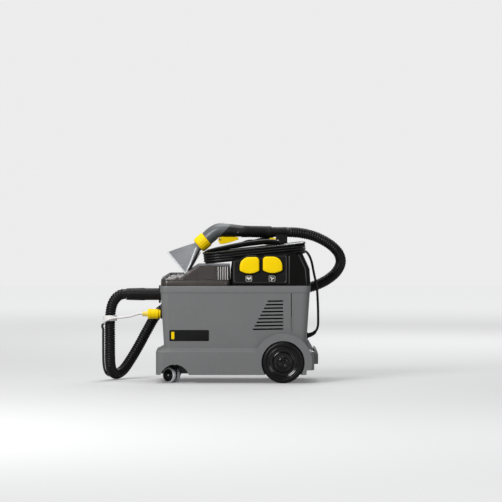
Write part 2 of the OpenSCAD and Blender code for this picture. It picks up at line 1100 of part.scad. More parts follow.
module tool_cuff() {
    color([0.05, 0.05, 0.05])
        difference() {
            rod([cuff_x0 + 0.9, tool_y, grip_z], [cuff_x1, tool_y, grip_z], cuff_r, cuff_r);
            rod([cuff_x0 - 1, tool_y, grip_z], [cuff_x1 - 6, tool_y, grip_z], 13, 13);
        }
}

module on_nozzle() {
    translate([nut_c.x, tool_y, nut_c.y])
        rotate([0, nut_tilt, 0])
            children();
}

module union_nut() {
    color("gold")
        on_nozzle()
            difference() {
                translate([0, 0, -nut_l / 2])
                    cylinder(r = nut_r, h = nut_l, $fn = 64);
                translate([0, 0, -nut_l / 2 - 1])
                    cylinder(r = 18, h = nut_l + 2, $fn = 64);
            }
}

// Fan-shaped suction head, its mouth across local X, its thickness along local Y
module fan(g) {
    hull() {
        translate([0, 0, 20])
            cylinder(r = 15 + g, h = 1);
        translate([-mouth_w / 2 - g, -7 - g, 104])
            cube([mouth_w + 2 * g, 14 + 2 * g, 1 + max(0, -g)]);
    }
}

module turned_head() {
    on_nozzle()
        rotate([0, 0, 180 + mouth_roll])
            children();
}

module nozzle_head() {
    color([0.6, 0.6, 0.6, 0.6])
        turned_head()
            difference() {
                union() {
                    fan(0);
                    translate([0, 0, -10])
                        cylinder(r = 17.7, h = 31);
                }
                fan(-2.5);
                translate([0, 0, -12])
                    cylinder(r = 14, h = 34);
            }
}

module nozzle_lip() {
    color([0.3, 0.3, 0.3])
        turned_head()
            difference() {
                translate([-mouth_w / 2 - 1, -8.5, 105.2])
                    cube([mouth_w + 2, 17, 5]);
                translate([-mouth_w / 2 + 3, -4, 100])
                    cube([mouth_w - 6, 8, 20]);
            }
}

module spray_tip() {
    color("gold")
        turned_head()
            translate([0, -19.5, 66])
                rotate([28, 0, 0]) {
                    cylinder(r = 4, h = 14);
                    translate([0, 0, 13])
                        cylinder(r = 5.5, h = 5);
                }
}

module trigger() {
    profile = [[-63, 458], [-61, 466], [-55, 468], [-48, 464], [-20, 462.5], [3, 463], [4, 459], [-10, 455],
        [-30, 449], [-50, 445], [-60, 448]];
    color("gold")
        difference() {
            translate([0, tool_y + 8.5, 0])
                rotate([90, 0, 0])
                    linear_extrude(17)
                        polygon(profile);
            translate([trigger_hinge.x, tool_y - 20, trigger_hinge.y])
                rotate([-90, 0, 0])
                    cylinder(r = 2.5 + running, h = 40);
        }
}

module trigger_pin() {
    color("silver")
        translate([trigger_hinge.x, tool_y - 14, trigger_hinge.y])
            rotate([-90, 0, 0])
                cylinder(r = 2.5, h = 28);
}

module valve_body() {
    color("whitesmoke")
        difference() {
            translate([stem_x - 9, tool_y - 8, 479.3])
                cube([18, 16, 18]);
            translate([stem_x, tool_y, 470])
                cylinder(r = 3 + running, h = 25);
        }
}

module valve_stem() {
    color("silver")
        translate([stem_x, tool_y, 463.4])
            cylinder(r = 3, h = 22);
}

// Saddle that the tool's cuff lies in, and the catch beside it
module tool_rest() {
    color([0.05, 0.05, 0.05])
        difference() {
            union() {
                block([126.5, tool_y - 28, 430], [164, tool_y + 22, 477]);
                translate([105, latch_y, latch_z])
                    rotate([0, 90, 0])
                        cylinder(r = 1.5, h = 23);
            }
            on_deck()
                block([-200, -200, -60], [200, 200, flange_v + flange_t + 0.1]);
            rod([100, tool_y, grip_z], [180, tool_y, grip_z], cuff_r + 0.3, cuff_r + 0.3);
        }
}

module tool_latch() {
    color("gold")
        difference() {
            union() {
                block([106, tool_y - 28, latch_z], [125.5, tool_y - 21.5, 466]);
                translate([106, latch_y, latch_z])
                    rotate([0, 90, 0])
                        cylinder(r = 4, h = 19.5);
            }
            translate([100, latch_y, latch_z])
                rotate([0, 90, 0])
                    cylinder(r = 1.5 + running, h = 30);
        }
}

// ---------- cords ----------

hose_path = smooth(hose_route, 2);
hose_sides = carry(hose_path, 0, [0, 0, 1]);
line_path = concat(
    [[-309.4, socket_y, socket_z], [-322, socket_y, socket_z], [-350, -31, 212], [-378, -29, 208],
        [-404, -28, 206], [-424, -26, 200], [-436, -17, 190],
        [-441, -6, 178]],
    [for (i = [13:len(hose_path) - 2]) hose_path[i] + hose_sides[i] * line_off]
);

module suction_hose() {
    color([0.04, 0.04, 0.04])
        sweep(hose_path, hose_d / 2, 12, [0, 0, 1]);
}

module spray_line() {
    color([0.1, 0.1, 0.1])
        sweep(line_path, line_d / 2, 8, [0, 0, 1]);
}

module power_cord() {
    color([0.03, 0.03, 0.03]) {
        sweep(smooth(cord_route, 3), cord_d / 2, 8, [0, 1, 0]);
        on_deck()
            sweep(smooth(lead_route, 2), cord_d / 2, 8, [0, 0, 1]);
    }
}

function wall_hy(z) = waist_hy + (rim_hy - waist_hy) * (z - waist_z) / (rim_z - 1 - waist_z);

// Open clips on the far wall that carry the hose, and the white strap round the hose at the front
module hose_clips() {
    // place along X, height, and slope of the hose there
    places = [[-130, 254, 6], [170, 287, 8]];
    color([0.05, 0.05, 0.05])
        for (p = places)
            translate([p.x, 168, p.y])
                rotate([0, -p.z, 0]) {
                    translate([-7, 0, 0])
                        rotate([0, 90, 0])
                            difference() {
                                cylinder(r = clip_r + 3, h = 14);
                                translate([0, 0, -1])
                                    cylinder(r = clip_r, h = 16);
                                translate([-40, -16, -1])
                                    cube([40, 60, 16]);
                            }
                    block([-7, wall_hy(p.y + 6) - 167.7, -7], [7, -clip_r - 1, 4]);
                }
}

module hose_strap() {
    color("white")
        translate([-415.4, 0, 205])
            difference() {
                translate([0, 0, -9])
                    cylinder(r = strap_r + 3, h = 18);
                translate([0, 0, -10])
                    cylinder(r = strap_r, h = 20);
            }
}

base_housing();
floor_pan();
upper_housing();
control_panel();
cord_deck();
carry_handle();
housing_screws();
fresh_water_tank();
recovery_tank();
tank_lid();
lid_seal();
float_cage();
float_ball();
suction_elbow();
suction_port();
spray_socket();
pump_hoses();
motor_housing();
motor_can();
turbine_rotor();
pump_body();
pump_plunger();
switch_blocks();
pump_button();
suction_button();
mains_gland();
rear_axle();
axle_clips();
rear_bumper();
rear_wheel_near();
rear_wheel_far();
hub_cap_near();
hub_cap_far();
caster_fork_near();
caster_fork_far();
caster_wheels_near();
caster_wheels_far();
tool_rest();
tool_latch();
tool_neck();
tool_grip();
tool_cuff();
union_nut();
nozzle_head();
nozzle_lip();
spray_tip();
trigger();
trigger_pin();
valve_body();
valve_stem();
hose_cuff();
suction_hose();
spray_line();
spray_coupling();
coupling_sleeve();
hose_clips();
hose_strap();
power_cord();
cord_coil();
mains_plug();
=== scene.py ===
"""Spot extractor: the visual model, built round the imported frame. Metres, +Z up, -X the front."""
import math
from types import SimpleNamespace

import bmesh
import bpy
from mathutils import Matrix, Vector


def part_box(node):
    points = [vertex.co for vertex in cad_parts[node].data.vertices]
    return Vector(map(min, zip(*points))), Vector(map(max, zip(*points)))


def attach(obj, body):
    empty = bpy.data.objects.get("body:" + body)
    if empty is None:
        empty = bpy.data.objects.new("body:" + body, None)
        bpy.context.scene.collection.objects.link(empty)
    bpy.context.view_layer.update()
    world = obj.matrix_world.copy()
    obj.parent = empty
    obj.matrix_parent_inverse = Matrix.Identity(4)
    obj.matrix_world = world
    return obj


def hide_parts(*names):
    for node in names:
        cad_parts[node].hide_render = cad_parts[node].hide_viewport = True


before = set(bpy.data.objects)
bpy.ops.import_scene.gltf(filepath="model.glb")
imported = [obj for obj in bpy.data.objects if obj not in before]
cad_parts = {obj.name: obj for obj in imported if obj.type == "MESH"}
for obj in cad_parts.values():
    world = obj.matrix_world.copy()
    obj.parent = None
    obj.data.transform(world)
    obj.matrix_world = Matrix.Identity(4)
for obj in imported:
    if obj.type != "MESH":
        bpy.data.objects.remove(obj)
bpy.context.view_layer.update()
MM = 0.001
CHASSIS = "chassis"
WALLS = ((-1, "near"), (1, "far"))


# ---------- camera, light and floor ----------

AIM = Vector((0.045, 0, 0.424))
FAR, LIFT = 14, math.radians(1.5)
VIEW_WIDTH, VIEW_PLANE = 1.632, 0.07  # metres across the picture, in a plane this far before the middle
SENSOR = 36
LAMP_AIM = Vector((0, 0, 0.25))
LAMPS = (
    ("key", (-1.9, -2.9, 2.3), 1.4, 134),
    ("fill", (2.2, -2.6, 1), 1.2, 14),
    ("top", (-0.2, 0.2, 3), 1.8, 60),
    ("back", (0.8, 2.8, 2.2), 2, 60),
)
FLOOR = 9
PAPER = (0.98, 0.98, 0.98, 1)


def linked(name, data):
    obj = bpy.data.objects.new(name, data)
    bpy.context.scene.collection.objects.link(obj)
    return obj


def set_stage():
    """Camera at the reference view, soft studio light, pale floor."""
    scene = bpy.context.scene
    data = bpy.data.cameras.new("camera")
    data.sensor_width = SENSOR
    data.lens = SENSOR * (FAR - VIEW_PLANE) / VIEW_WIDTH
    data.clip_end = 60
    scene.camera = linked("camera", data)
    scene.camera.location = AIM + FAR * Vector((0, -math.cos(LIFT), math.sin(LIFT)))
    scene.camera.rotation_euler = (math.pi / 2 - LIFT, 0, 0)
    scene.view_settings.view_transform = "Standard"
    scene.world = studio_world()
    for name, place, size, power in LAMPS:
        lamp = bpy.data.lights.new(name, "AREA")
        lamp.size, lamp.energy = size, power
        holder = linked(name, lamp)
        holder.location = place
        holder.rotation_euler = (LAMP_AIM - Vector(place)).to_track_quat("-Z", "Y").to_euler()

    mesh = bpy.data.meshes.new("floor")
    corners = [(-FLOOR, -FLOOR, 0), (FLOOR, -FLOOR, 0), (FLOOR, FLOOR, 0), (-FLOOR, FLOOR, 0)]
    mesh.from_pydata(corners, [], [(0, 1, 2, 3)])
    floor = linked("floor", mesh)
    floor.data.materials.append(floor_material())


def floor_material():
    """Pale paper sweep: matt under the machine, and glowing further out, where the lamps no longer reach."""
    mat, tree, shader = node_material("studio_floor")
    away = add_node(tree, "VectorMath", {0: object_coords(tree)}, operation="LENGTH").outputs["Value"]
    glow = map_range(tree, away, 0.4, 6.5, 0.15, 0.73, interpolation_type="SMOOTHSTEP")
    fill(tree, shader, {
        "Base Color": (0.40, 0.40, 0.40, 1), "Roughness": 0.9, "Specular IOR Level": 0.1,
        "Emission Color": PAPER, "Emission Strength": product(tree, glow, camera_ray(tree))})
    return mat


def studio_world():
    """A pale backdrop that lights the object less than it shows."""
    world = bpy.data.worlds.new("studio")
    world.use_nodes = True
    tree = world.node_tree
    shown = tree.nodes["Background"]
    fill(tree, shown, {"Color": PAPER, "Strength": 0.86})
    lit = add_node(tree, "Background", {"Color": (0.93, 0.95, 1, 1), "Strength": 0.26})
    mix = add_node(tree, "MixShader", {"Fac": camera_ray(tree), 1: lit.outputs[0], 2: shown.outputs[0]})
    fill(tree, tree.nodes["World Output"], {"Surface": mix.outputs[0]})
    return world


# ---------- shader nodes and materials ----------

def fill(tree, node, inputs):
    """Gives each input its value, or links it to the socket given."""
    for key, value in inputs.items():
        if isinstance(value, bpy.types.NodeSocket):
            tree.links.new(value, node.inputs[key])
        else:
            node.inputs[key].default_value = value


def add_node(tree, kind, inputs=None, **settings):
    node = tree.nodes.new("ShaderNode" + kind)
    for key, value in settings.items():
        setattr(node, key, value)
    fill(tree, node, inputs or {})
    return node


def object_coords(tree):
    return add_node(tree, "TexCoord").outputs["Object"]


def camera_ray(tree):
    return add_node(tree, "LightPath").outputs["Is Camera Ray"]


def product(tree, first, second):
    return add_node(tree, "Math", {0: first, 1: second}, operation="MULTIPLY").outputs[0]


def map_range(tree, value, start, end, low=0, high=1, **settings):
    """The value's way from start to end, as a way from low to high."""
    inputs = {"Value": value, "From Min": start, "From Max": end, "To Min": low, "To Max": high}
    return add_node(tree, "MapRange", inputs, **settings).outputs["Result"]


def mix_colour(tree, factor, first, second, **settings):
    node = add_node(tree, "Mix", data_type="RGBA", **settings)
    fill(tree, node, {"Factor": factor, "A": first, "B": second})
    return node.outputs["Result"]


def node_material(name):
    mat = bpy.data.materials.new(name)
    mat.use_nodes = True
    tree = mat.node_tree
    return mat, tree, tree.nodes["Principled BSDF"]


def ramp_noise(tree, scale, low, high, detail=4):
    """A value that wanders between low and high over the surface."""
    noise = add_node(tree, "TexNoise", {"Vector": object_coords(tree), "Scale": scale, "Detail": detail})
    return map_range(tree, noise.outputs["Fac"], 0.3, 0.7, low, high)


def moulded(name, colour, rough, grain=900, bump=0.15, vary=0.12, wear=0, metal=0, through=0,
            shine=0.5):
    """Moulded plastic, rubber or metal: fine surface grain, uneven sheen and slight colour drift."""
    mat, tree, shader = node_material(name)
    dark, light = (tuple(min(1, c * (1 + way * vary)) for c in colour) + (1,) for way in (-1, 1))
    shown = mix_colour(tree, ramp_noise(tree, 9, 0, 1), dark, light)
    if wear:
        worn = tuple(min(1, c + wear) for c in colour) + (1,)
        scuff = ramp_noise(tree, 55, -2.2, 1, detail=8)
        shown = mix_colour(tree, scuff, shown, worn, clamp_factor=True)
    height = ramp_noise(tree, grain, 0, 1, detail=2)
    relief = add_node(tree, "Bump", {"Strength": bump, "Distance": 0.0004, "Height": height})
    fill(tree, shader, {
        "Base Color": shown, "Metallic": metal, "Transmission Weight": through, "Specular IOR Level": shine,
        "Roughness": ramp_noise(tree, 24, max(0.02, rough - 0.06), min(1, rough + 0.08)),
        "Normal": relief.outputs["Normal"]})
    return mat


def neck_material():
    """The neck's anthracite plastic, which turns black past a slanting line towards the grip."""
    mat = moulded("anthracite_neck", (0.090, 0.098, 0.102), 0.34, grain=1300, bump=0.2, vary=0.05,
                  shine=0.4)
    tree = mat.node_tree
    shader = tree.nodes["Principled BSDF"]
    was = shader.inputs["Base Color"].links[0].from_socket
    across = {0: object_coords(tree), 1: (1, 0, -0.93)}
    slant = add_node(tree, "VectorMath", across, operation="DOT_PRODUCT")
    past = map_range(tree, slant.outputs["Value"], -0.4958, -0.4950)
    fill(tree, shader, {"Base Color": mix_colour(tree, past, was, (0.006, 0.006, 0.006, 1))})
    return mat


def line_material():
    """The spray line's tube: black, and clear along its lead from the coupling to the hose."""
    mat, tree, shader = node_material("spray_line_tube")
    apart = add_node(tree, "SeparateXYZ", {"Vector": object_coords(tree)})
    x, z = apart.outputs["X"], apart.outputs["Z"]
    front = product(tree, map_range(tree, z, 0.186, 0.190), map_range(tree, x, -0.300, -0.304))
    lead = product(tree, front, map_range(tree, z, 0.228, 0.224))
    fill(tree, shader, {
        "Base Color": mix_colour(tree, lead, (0.016, 0.016, 0.017, 1), (0.60, 0.58, 0.57, 1)),
        "Roughness": ramp_noise(tree, 30, 0.25, 0.42)})
    return mat


def make_materials():
    """The finishes, each by its short name."""
    return SimpleNamespace(
        grey=moulded("grey_shell", (0.142, 0.143, 0.144), 0.44, grain=1400, bump=0.22, vary=0.02,
            wear=0.008, shine=0.4),
        gloss=moulded("black_gloss", (0.0035, 0.0035, 0.003), 0.13, grain=60, bump=0.02, shine=0.2),
        matt=moulded("black_matt", (0.006, 0.006, 0.006), 0.42, grain=1200, bump=0.25, wear=0.003,
            shine=0.15),
        rim=moulded("wheel_gloss", (0.003, 0.003, 0.003), 0.16, grain=60, bump=0.02, shine=0.42),
        # paler black for the panel frame and the column seam: painted highlight along glossy edges
        edge=moulded("edge_painted_highlight", (0.045, 0.043, 0.042), 0.22, grain=60, bump=0.02),
        dark=moulded("recess_dark", (0.003, 0.003, 0.003), 0.7, bump=0.1, shine=0.1),
        yellow=moulded("yellow", (0.82, 0.565, 0), 0.36, grain=700, bump=0.06, vary=0.02, shine=0.12),
        neck=neck_material(),
        smoke=moulded("smoke_clear", (0.30, 0.27, 0.255), 0.06, grain=30, bump=0.04, through=0.88,
            shine=0.6),
        # pale clear for the lid's ribs: painted highlight streaks on the clear wall
        rib_painted_highlight=moulded("rib_painted_highlight", (0.72, 0.70, 0.69), 0.1, grain=30, bump=0.05, through=0.4,
            shine=0.7),
        nozzle=moulded("nozzle_clear", (0.29, 0.30, 0.312), 0.22, grain=50, bump=0.05, through=0.35),
        # pale clear for the nozzle's lip and edge ribs: painted highlight along the clear edges
        pale_clear=moulded("clear_edge_painted_highlight", (0.72, 0.73, 0.74), 0.18, grain=50, bump=0.05, through=0.3),
        white=moulded("tank_white", (0.66, 0.66, 0.63), 0.45),
        yellow_pale=moulded("coupling_clear_yellow", (0.82, 0.66, 0.14), 0.3, bump=0.1, through=0.2,
            shine=0.3),
        hose=moulded("hose_black", (0.008, 0.0075, 0.008), 0.3, grain=700, bump=0.1, shine=0.16),
        cord=moulded("cord_black", (0.005, 0.005, 0.005), 0.36, bump=0.12, shine=0.3),
        rubber=moulded("rubber", (0.0035, 0.0035, 0.0035), 0.34, bump=0.2, shine=0.22),
        tread=moulded("tread_grey", (0.50, 0.51, 0.53), 0.5, bump=0.2, vary=0.08),
        steel=moulded("steel", (0.56, 0.56, 0.57), 0.28, grain=500, bump=0.1, metal=1),
        mark=moulded("mark_grey", (0.62, 0.62, 0.57), 0.5, bump=0.02),
        # pale grey for the rear of the deck's top: painted reflection on the glossy black deck
        pale=moulded("deck_painted_reflection", (0.30, 0.30, 0.31), 0.32, bump=0.1),
        band=moulded("lining_brown", (0.040, 0.034, 0.030), 0.3, bump=0.1),
    )


# ---------- mesh helpers ----------

def mesh_of(name, verts, faces, place=None):
    """A mesh with its doubles merged and its faces turned outward."""
    mesh = bpy.data.meshes.new(name)
    mesh.from_pydata([tuple(v) for v in verts], [], faces)
    if place is not None:
        mesh.transform(place)
    work = bmesh.new()
    work.from_mesh(mesh)
    bmesh.ops.remove_doubles(work, verts=work.verts, dist=1e-6)
    bmesh.ops.recalc_face_normals(work, faces=work.faces)
    work.to_mesh(mesh)
    work.free()
    return mesh


def finish_piece(name, mesh, mat, body=CHASSIS, slot=None, stands_for=(), smooth=35):
    """A piece that rides on a body and may stand for CAD nodes."""
    for polygon in mesh.polygons:
        polygon.use_smooth = True
    mesh.set_sharp_from_angle(angle=math.radians(smooth))
    obj = linked(name, mesh)
    obj.data.materials.append(mat)
    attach(obj, body)
    if stands_for:
        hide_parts(*stands_for)
    return obj


def add_piece(name, verts, faces, mat, body=CHASSIS, place=None, **look):
    """A closed mesh as a piece; look is its slot (not used), stands_for and smooth."""
    return finish_piece(name, mesh_of(name, verts, faces, place), mat, body, **look)


def shell(name, loops, mat, body=CHASSIS, close=False, **look):
    """A piece skinned over loops of points in mm."""
    return add_piece(name, *skin(metres(loops), close), mat, body, **look)


def lathe(name, profile, sides, mat, body=CHASSIS, **look):
    """A piece turned about local Z from (radius, height) points in mm."""
    return add_piece(name, *turned(profile, sides), mat, body, **look)


def metres(loops):
    return [[tuple(c * MM for c in p) for p in loop] for loop in loops]


def turns(count):
    """The angles of a whole turn in equal steps."""
    return [2 * math.pi * k / count for k in range(count)]


def circle(radius, sides):
    return [(radius * math.cos(a), radius * math.sin(a)) for a in turns(sides)]


def rounded_loop(x0, x1, y0, y1, r, steps=8):
    """Corner-rounded rectangle as (x, y) points, anticlockwise."""
    r = max(1e-5, min(r, (x1 - x0) / 2 - 1e-5, (y1 - y0) / 2 - 1e-5))
    corners = [(x1 - r, y0 + r, -90), (x1 - r, y1 - r, 0), (x0 + r, y1 - r, 90), (x0 + r, y0 + r, 180)]
    points = []
    for cx, cy, start in corners:
        for i in range(steps + 1):
            a = math.radians(start + 90 * i / steps)
            points.append((cx + r * math.cos(a), cy + r * math.sin(a)))
    return points


def stacked(levels, x0, x1, y0, y1, r, steps):
    """Rounded rectangles one over the other; each level is (z, inset)."""
    return [[(x, y, z) for x, y in rounded_loop(x0 + inset, x1 - inset, y0 + inset, y1 - inset, r, steps)]
            for z, inset in levels]


def skin(loops, close=False):
    """Faces between point loops of one size, with the ends capped, or the last joined to the first."""
    n = len(loops[0])
    faces = []
    for i in range(len(loops) if close else len(loops) - 1):
        a, b = i * n, ((i + 1) % len(loops)) * n
        for k in range(n):
            m = (k + 1) % n
            faces.append((a + k, a + m, b + m, b + k))
    if not close:
        faces += [tuple(reversed(range(n))), tuple(range((len(loops) - 1) * n, len(loops) * n))]
    return [p for loop in loops for p in loop], faces


def merged(parts):
    """Several meshes as one."""
    verts, faces = [], []
    for points, polygons in parts:
        base = len(verts)
        verts += points
        faces += [tuple(base + i for i in polygon) for polygon in polygons]
    return verts, faces


def turned(profile, sides):
    """A body turned about local Z; a closed outline unless it meets the axis."""
    loops = [[(r * math.cos(a), r * math.sin(a), h) for r, h in profile] for a in turns(sides)]
    return skin(metres(loops), close=True)


def block(lo, hi):
    corners = ((lo[0], lo[1]), (hi[0], lo[1]), (hi[0], hi[1]), (lo[0], hi[1]))
    return skin(metres([[(x, y, z) for x, y in corners] for z in (lo[2], hi[2])]))


def loose(verts, faces, place=None):
    """A work object for cuts."""
    return linked("work", mesh_of("work", verts, faces, place))


def bevelled(obj, width, angle):
    """Rounds the crisp edges, as a mould does."""
    step = obj.modifiers.new("round_edges", "BEVEL")
    step.width, step.segments = width, 3
    step.limit_method, step.angle_limit = "ANGLE", math.radians(angle)
    step.use_clamp_overlap, step.harden_normals = True, False


def baked(obj):
    """Applies a work object's modifiers to its mesh."""
    bpy.context.view_layer.update()
    graph = bpy.context.evaluated_depsgraph_get()
    mesh = bpy.data.meshes.new_from_object(obj.evaluated_get(graph))
    obj.modifiers.clear()
    obj.data = mesh


def carved(target, cutter):
    """Cuts one work object out of another."""
    step = target.modifiers.new("cut", "BOOLEAN")
    step.operation, step.solver, step.object = "DIFFERENCE", "EXACT", cutter
    baked(target)
    bpy.data.objects.remove(cutter)


def taken(obj):
    """A work object's mesh, without the object."""
    mesh = obj.data
    bpy.data.objects.remove(obj)
    return mesh


def at(x, y, z):
    """A shift given in mm."""
    return Matrix.Translation((x * MM, y * MM, z * MM))


def about(axis, degrees):
    return Matrix.Rotation(math.radians(degrees), 4, axis)


def along_y(x, y, z):
    """Places a turned body with its axis along -Y (near side outward) at a point in mm."""
    return at(x, y, z) @ about("X", 90)


def between(table, u):
    """Straight-line value of a (u, v) table."""
    for (u0, v0), (u1, v1) in zip(table, table[1:]):
        if u0 <= u <= u1:
            return v0 + (v1 - v0) * (u - u0) / (u1 - u0)
    return table[0][1] if u < table[0][0] else table[-1][1]


DECK = at(58, 0, 405.4) @ about("Y", -6)


# ---------- hoses and cords ----------

def catmull(a, b, c, d, t):
    return 0.5 * ((2 * b) + (c - a) * t + (2 * a - 5 * b + 4 * c - d) * t * t
                  + (3 * b - a - 3 * c + d) * t * t * t)


def smooth_path(points, steps):
    points = [Vector(p) for p in points]
    last = len(points) - 1
    path = []
    for i in range(last):
        a, b, c, d = points[max(0, i - 1)], points[i], points[i + 1], points[min(last, i + 2)]
        path += [catmull(a, b, c, d, k / steps) for k in range(steps)]
    return path + [points[last]]


def evenly(path, gap):
    """The same line with points every gap, both ends kept."""
    run = [0]
    for a, b in zip(path, path[1:]):
        run.append(run[-1] + (b - a).length)
    count = max(2, round(run[-1] / gap))
    out, k = [], 0
    for i in range(count + 1):
        want = run[-1] * i / count
        while k < len(run) - 2 and run[k + 1] < want:
            k += 1
        part = (want - run[k]) / max(1e-9, run[k + 1] - run[k])
        out.append(path[k].lerp(path[k + 1], part))
    return out


def frames(path, side):
    """Untwisted (tangent, side, other) frames along a path."""
    out = []
    side = Vector(side)
    for i in range(len(path)):
        t = (path[min(i + 1, len(path) - 1)] - path[max(i - 1, 0)]).normalized()
        side = (side - side.dot(t) * t).normalized()
        out.append((t, side.copy(), t.cross(side)))
    return out


def tube(path, radius, sides, side=(0, 0, 1)):
    """A swept tube; radius is a number or a function of the point's index."""
    loops = []
    for i, (p, (_, u, v)) in enumerate(zip(path, frames(path, side))):
        r = radius(i) if callable(radius) else radius
        loops.append([p + r * (math.cos(a) * u + math.sin(a) * v) for a in turns(sides)])
    return skin(loops)


HOSE_ROUTE = [
    (-362.6, 0, 283), (-371, 0, 283), (-381, 0, 281), (-396, 0, 270), (-408, 0, 250), (-414, 0, 222),
    (-416, 0, 186), (-416, 0, 150), (-416, 1, 114), (-416, 6, 82), (-415, 18, 50), (-409, 40, 27),
    (-395, 68, 19), (-374, 98, 32), (-350, 122, 66), (-324, 140, 110), (-298, 152, 158),
    (-270, 160, 205), (-236, 165, 234), (-190, 167, 247), (-130, 168, 254), (-70, 168, 260),
    (-10, 168, 266), (50, 168, 272), (110, 168, 279), (170, 167, 287), (222, 164, 296),
    (262, 154, 308), (298, 138, 327), (326, 120, 352), (340, 102, 382), (334, 84, 412),
    (312, 70, 438), (280, 60, 459), (244, 54, 474), (206, 52, 482), (166, 52, 485),
]
LINE_LEAD = [
    (-309.4, -32, 220), (-322, -32, 220), (-350, -31, 212), (-378, -29, 208), (-404, -28, 206),
    (-424, -26, 200), (-436, -17, 190), (-441, -6, 178),
]
CORD_ROUTE = [
    (230, -40, 150), (238.8, -40, 151.2), (247, -40, 154.6), (254, -40, 160), (259.4, -39.6, 167),
    (262.8, -39, 175.2), (264, -38.4, 184), (264, -37, 205), (263.5, -35, 240), (262, -33, 275),
    (260, -32, 305), (255, -31, 330), (250, -30.5, 352), (246, -31, 374), (242, -34, 393),
    (236, -41, 408), (228.5, -52, 420),
]
LEAD_ROUTE = [
    (-112, 126, 21), (-96, 130.5, 22), (-80, 134.5, 25.5), (-64, 137.3, 32), (-48, 136.5, 40.5),
    (-34, 130.5, 47.3), (-22, 121.5, 50.6), (-10, 111.5, 51.3), (-1, 106, 50.5), (7, 103, 49.6),
]
HOSE_D = 0.035
LINE_D = 0.008
CORD_D = 0.008
LINE_OFF = HOSE_D / 2 + LINE_D / 2 + 0.0006
HOSE_PITCH, PITCH_STEPS = 0.0078, 5  # from rib to rib, and the tube's rings for each rib
JOINS_HOSE = 13  # the point of the hose's coarse line where the spray line comes alongside
STRAND = 8.3  # from strand to strand of the winding, in mm
LAST_TURN = 41  # how many points of the last turn the cord follows
STEP_FROM, STEP_SPAN = 59, 6  # where a turn shifts to the next one's place, in points


def scaled(points):
    return [Vector(p) * MM for p in points]


def suction_hose(mats):
    path = evenly(smooth_path(scaled(HOSE_ROUTE), 8), HOSE_PITCH / PITCH_STEPS)
    crest, root = HOSE_D / 2 - 0.0002, HOSE_D / 2 - 0.0024
    heights = [root, root + 0.0017, crest, crest, root + 0.0017]

    def radius(i):
        edge = min(i, len(path) - 1 - i)
        return crest - 0.0008 if edge < 7 else heights[i % PITCH_STEPS]

    hose = add_piece("suction_hose_ribbed", *tube(path, radius, 28), mats.hose, slot="hose_black",
                     stands_for=("suction_hose",), smooth=60)


def spray_line():
    """The thin line that leaves the coupling, crosses the hose and then runs beside it to the tool."""
    coarse = smooth_path(scaled(HOSE_ROUTE), 2)
    beside = [p + s[1] * LINE_OFF for p, s in zip(coarse, frames(coarse, (0, 0, 1)))]
    path = evenly(smooth_path(scaled(LINE_LEAD) + beside[JOINS_HOSE:-1], 5), 0.004)
    line = add_piece("spray_line_tube", *tube(path, LINE_D / 2, 16), line_material(), slot="cord_black",
                     stands_for=("spray_line",))


def ring(inset):
    """One turn's centre line in the deck's plane in mm, clockwise from the rear side's near corner."""
    hu, hy, r = 167 - inset, 128 - inset, 60 - inset
    corners = [(hu - r, r - hy, 0), (r - hu, r - hy, -90), (r - hu, hy - r, 180), (hu - r, hy - r, 90)]
    bends = []
    for cx, cy, start in corners:
        angles = [math.radians(start - 90 * i / 8) for i in range(9)]
        bends.append([(cx + r * math.cos(a), cy + r * math.sin(a)) for a in angles])
    points = []
    for n, bend in enumerate(bends):
        (x0, y0), (x1, y1) = bend[-1], bends[(n + 1) % 4][0]
        points += bend + [(x0 + (x1 - x0) * k / 9, y0 + (y1 - y0) * k / 9) for k in range(1, 9)]
    return points


def winding_path():
    """The cord's turns round the deck's core, laid in rows of strands."""
    order = [(0, 0), (1, 0), (2, 0), (1, 1), (0, 1), (1, 2), (0, 2)]
    path = []
    for turn, (column, row) in enumerate(order):
        last = turn == len(order) - 1
        to_column, to_row = order[turn] if last else order[turn + 1]
        here, after = ring(4 + column * STRAND), ring(4 + to_column * STRAND)
        for k in range(1 if turn == 0 else 0, LAST_TURN if last else len(here)):
            t = (k - STEP_FROM) / STEP_SPAN
            climbs = to_row != row
            rise, shift = (eased_step(2 * t), eased_step(2 * t - 1)) if climbs else (eased_step(t),) * 2
            x = here[k][0] + (after[k][0] - here[k][0]) * shift
            y = here[k][1] + (after[k][1] - here[k][1]) * shift
            path.append(DECK @ (Vector((x, y, 4.5 + STRAND * (row + (to_row - row) * rise))) * MM))
    return path


def eased_step(t):
    t = max(0, min(1, t))
    return t * t * (3 - 2 * t)


def eased(path, lo, hi, passes):
    """Takes the tight spots out of part of a line."""
    for _ in range(passes):
        path = [p if not lo <= i < hi else (path[i - 1] + 2 * p + path[i + 1]) / 4
                for i, p in enumerate(path)]
    return path


def power_cord(mats):
    tail = [DECK @ p for p in scaled(LEAD_ROUTE)]
    path = evenly(smooth_path(scaled(CORD_ROUTE) + winding_path() + tail, 3), 0.006)
    free_end, plug_end = 62, 40
    path = eased(path, 1, free_end, 4)
    path = eased(path, len(path) - plug_end, len(path) - 1, 3)
    cord = add_piece("power_cord_wound", *tube(path, CORD_D / 2 - 0.00005, 12, side=(0, 1, 0)), mats.cord,
                     slot="cord_black", stands_for=("power_cord", "cord_coil"))
    return path


# ---------- housing ----------

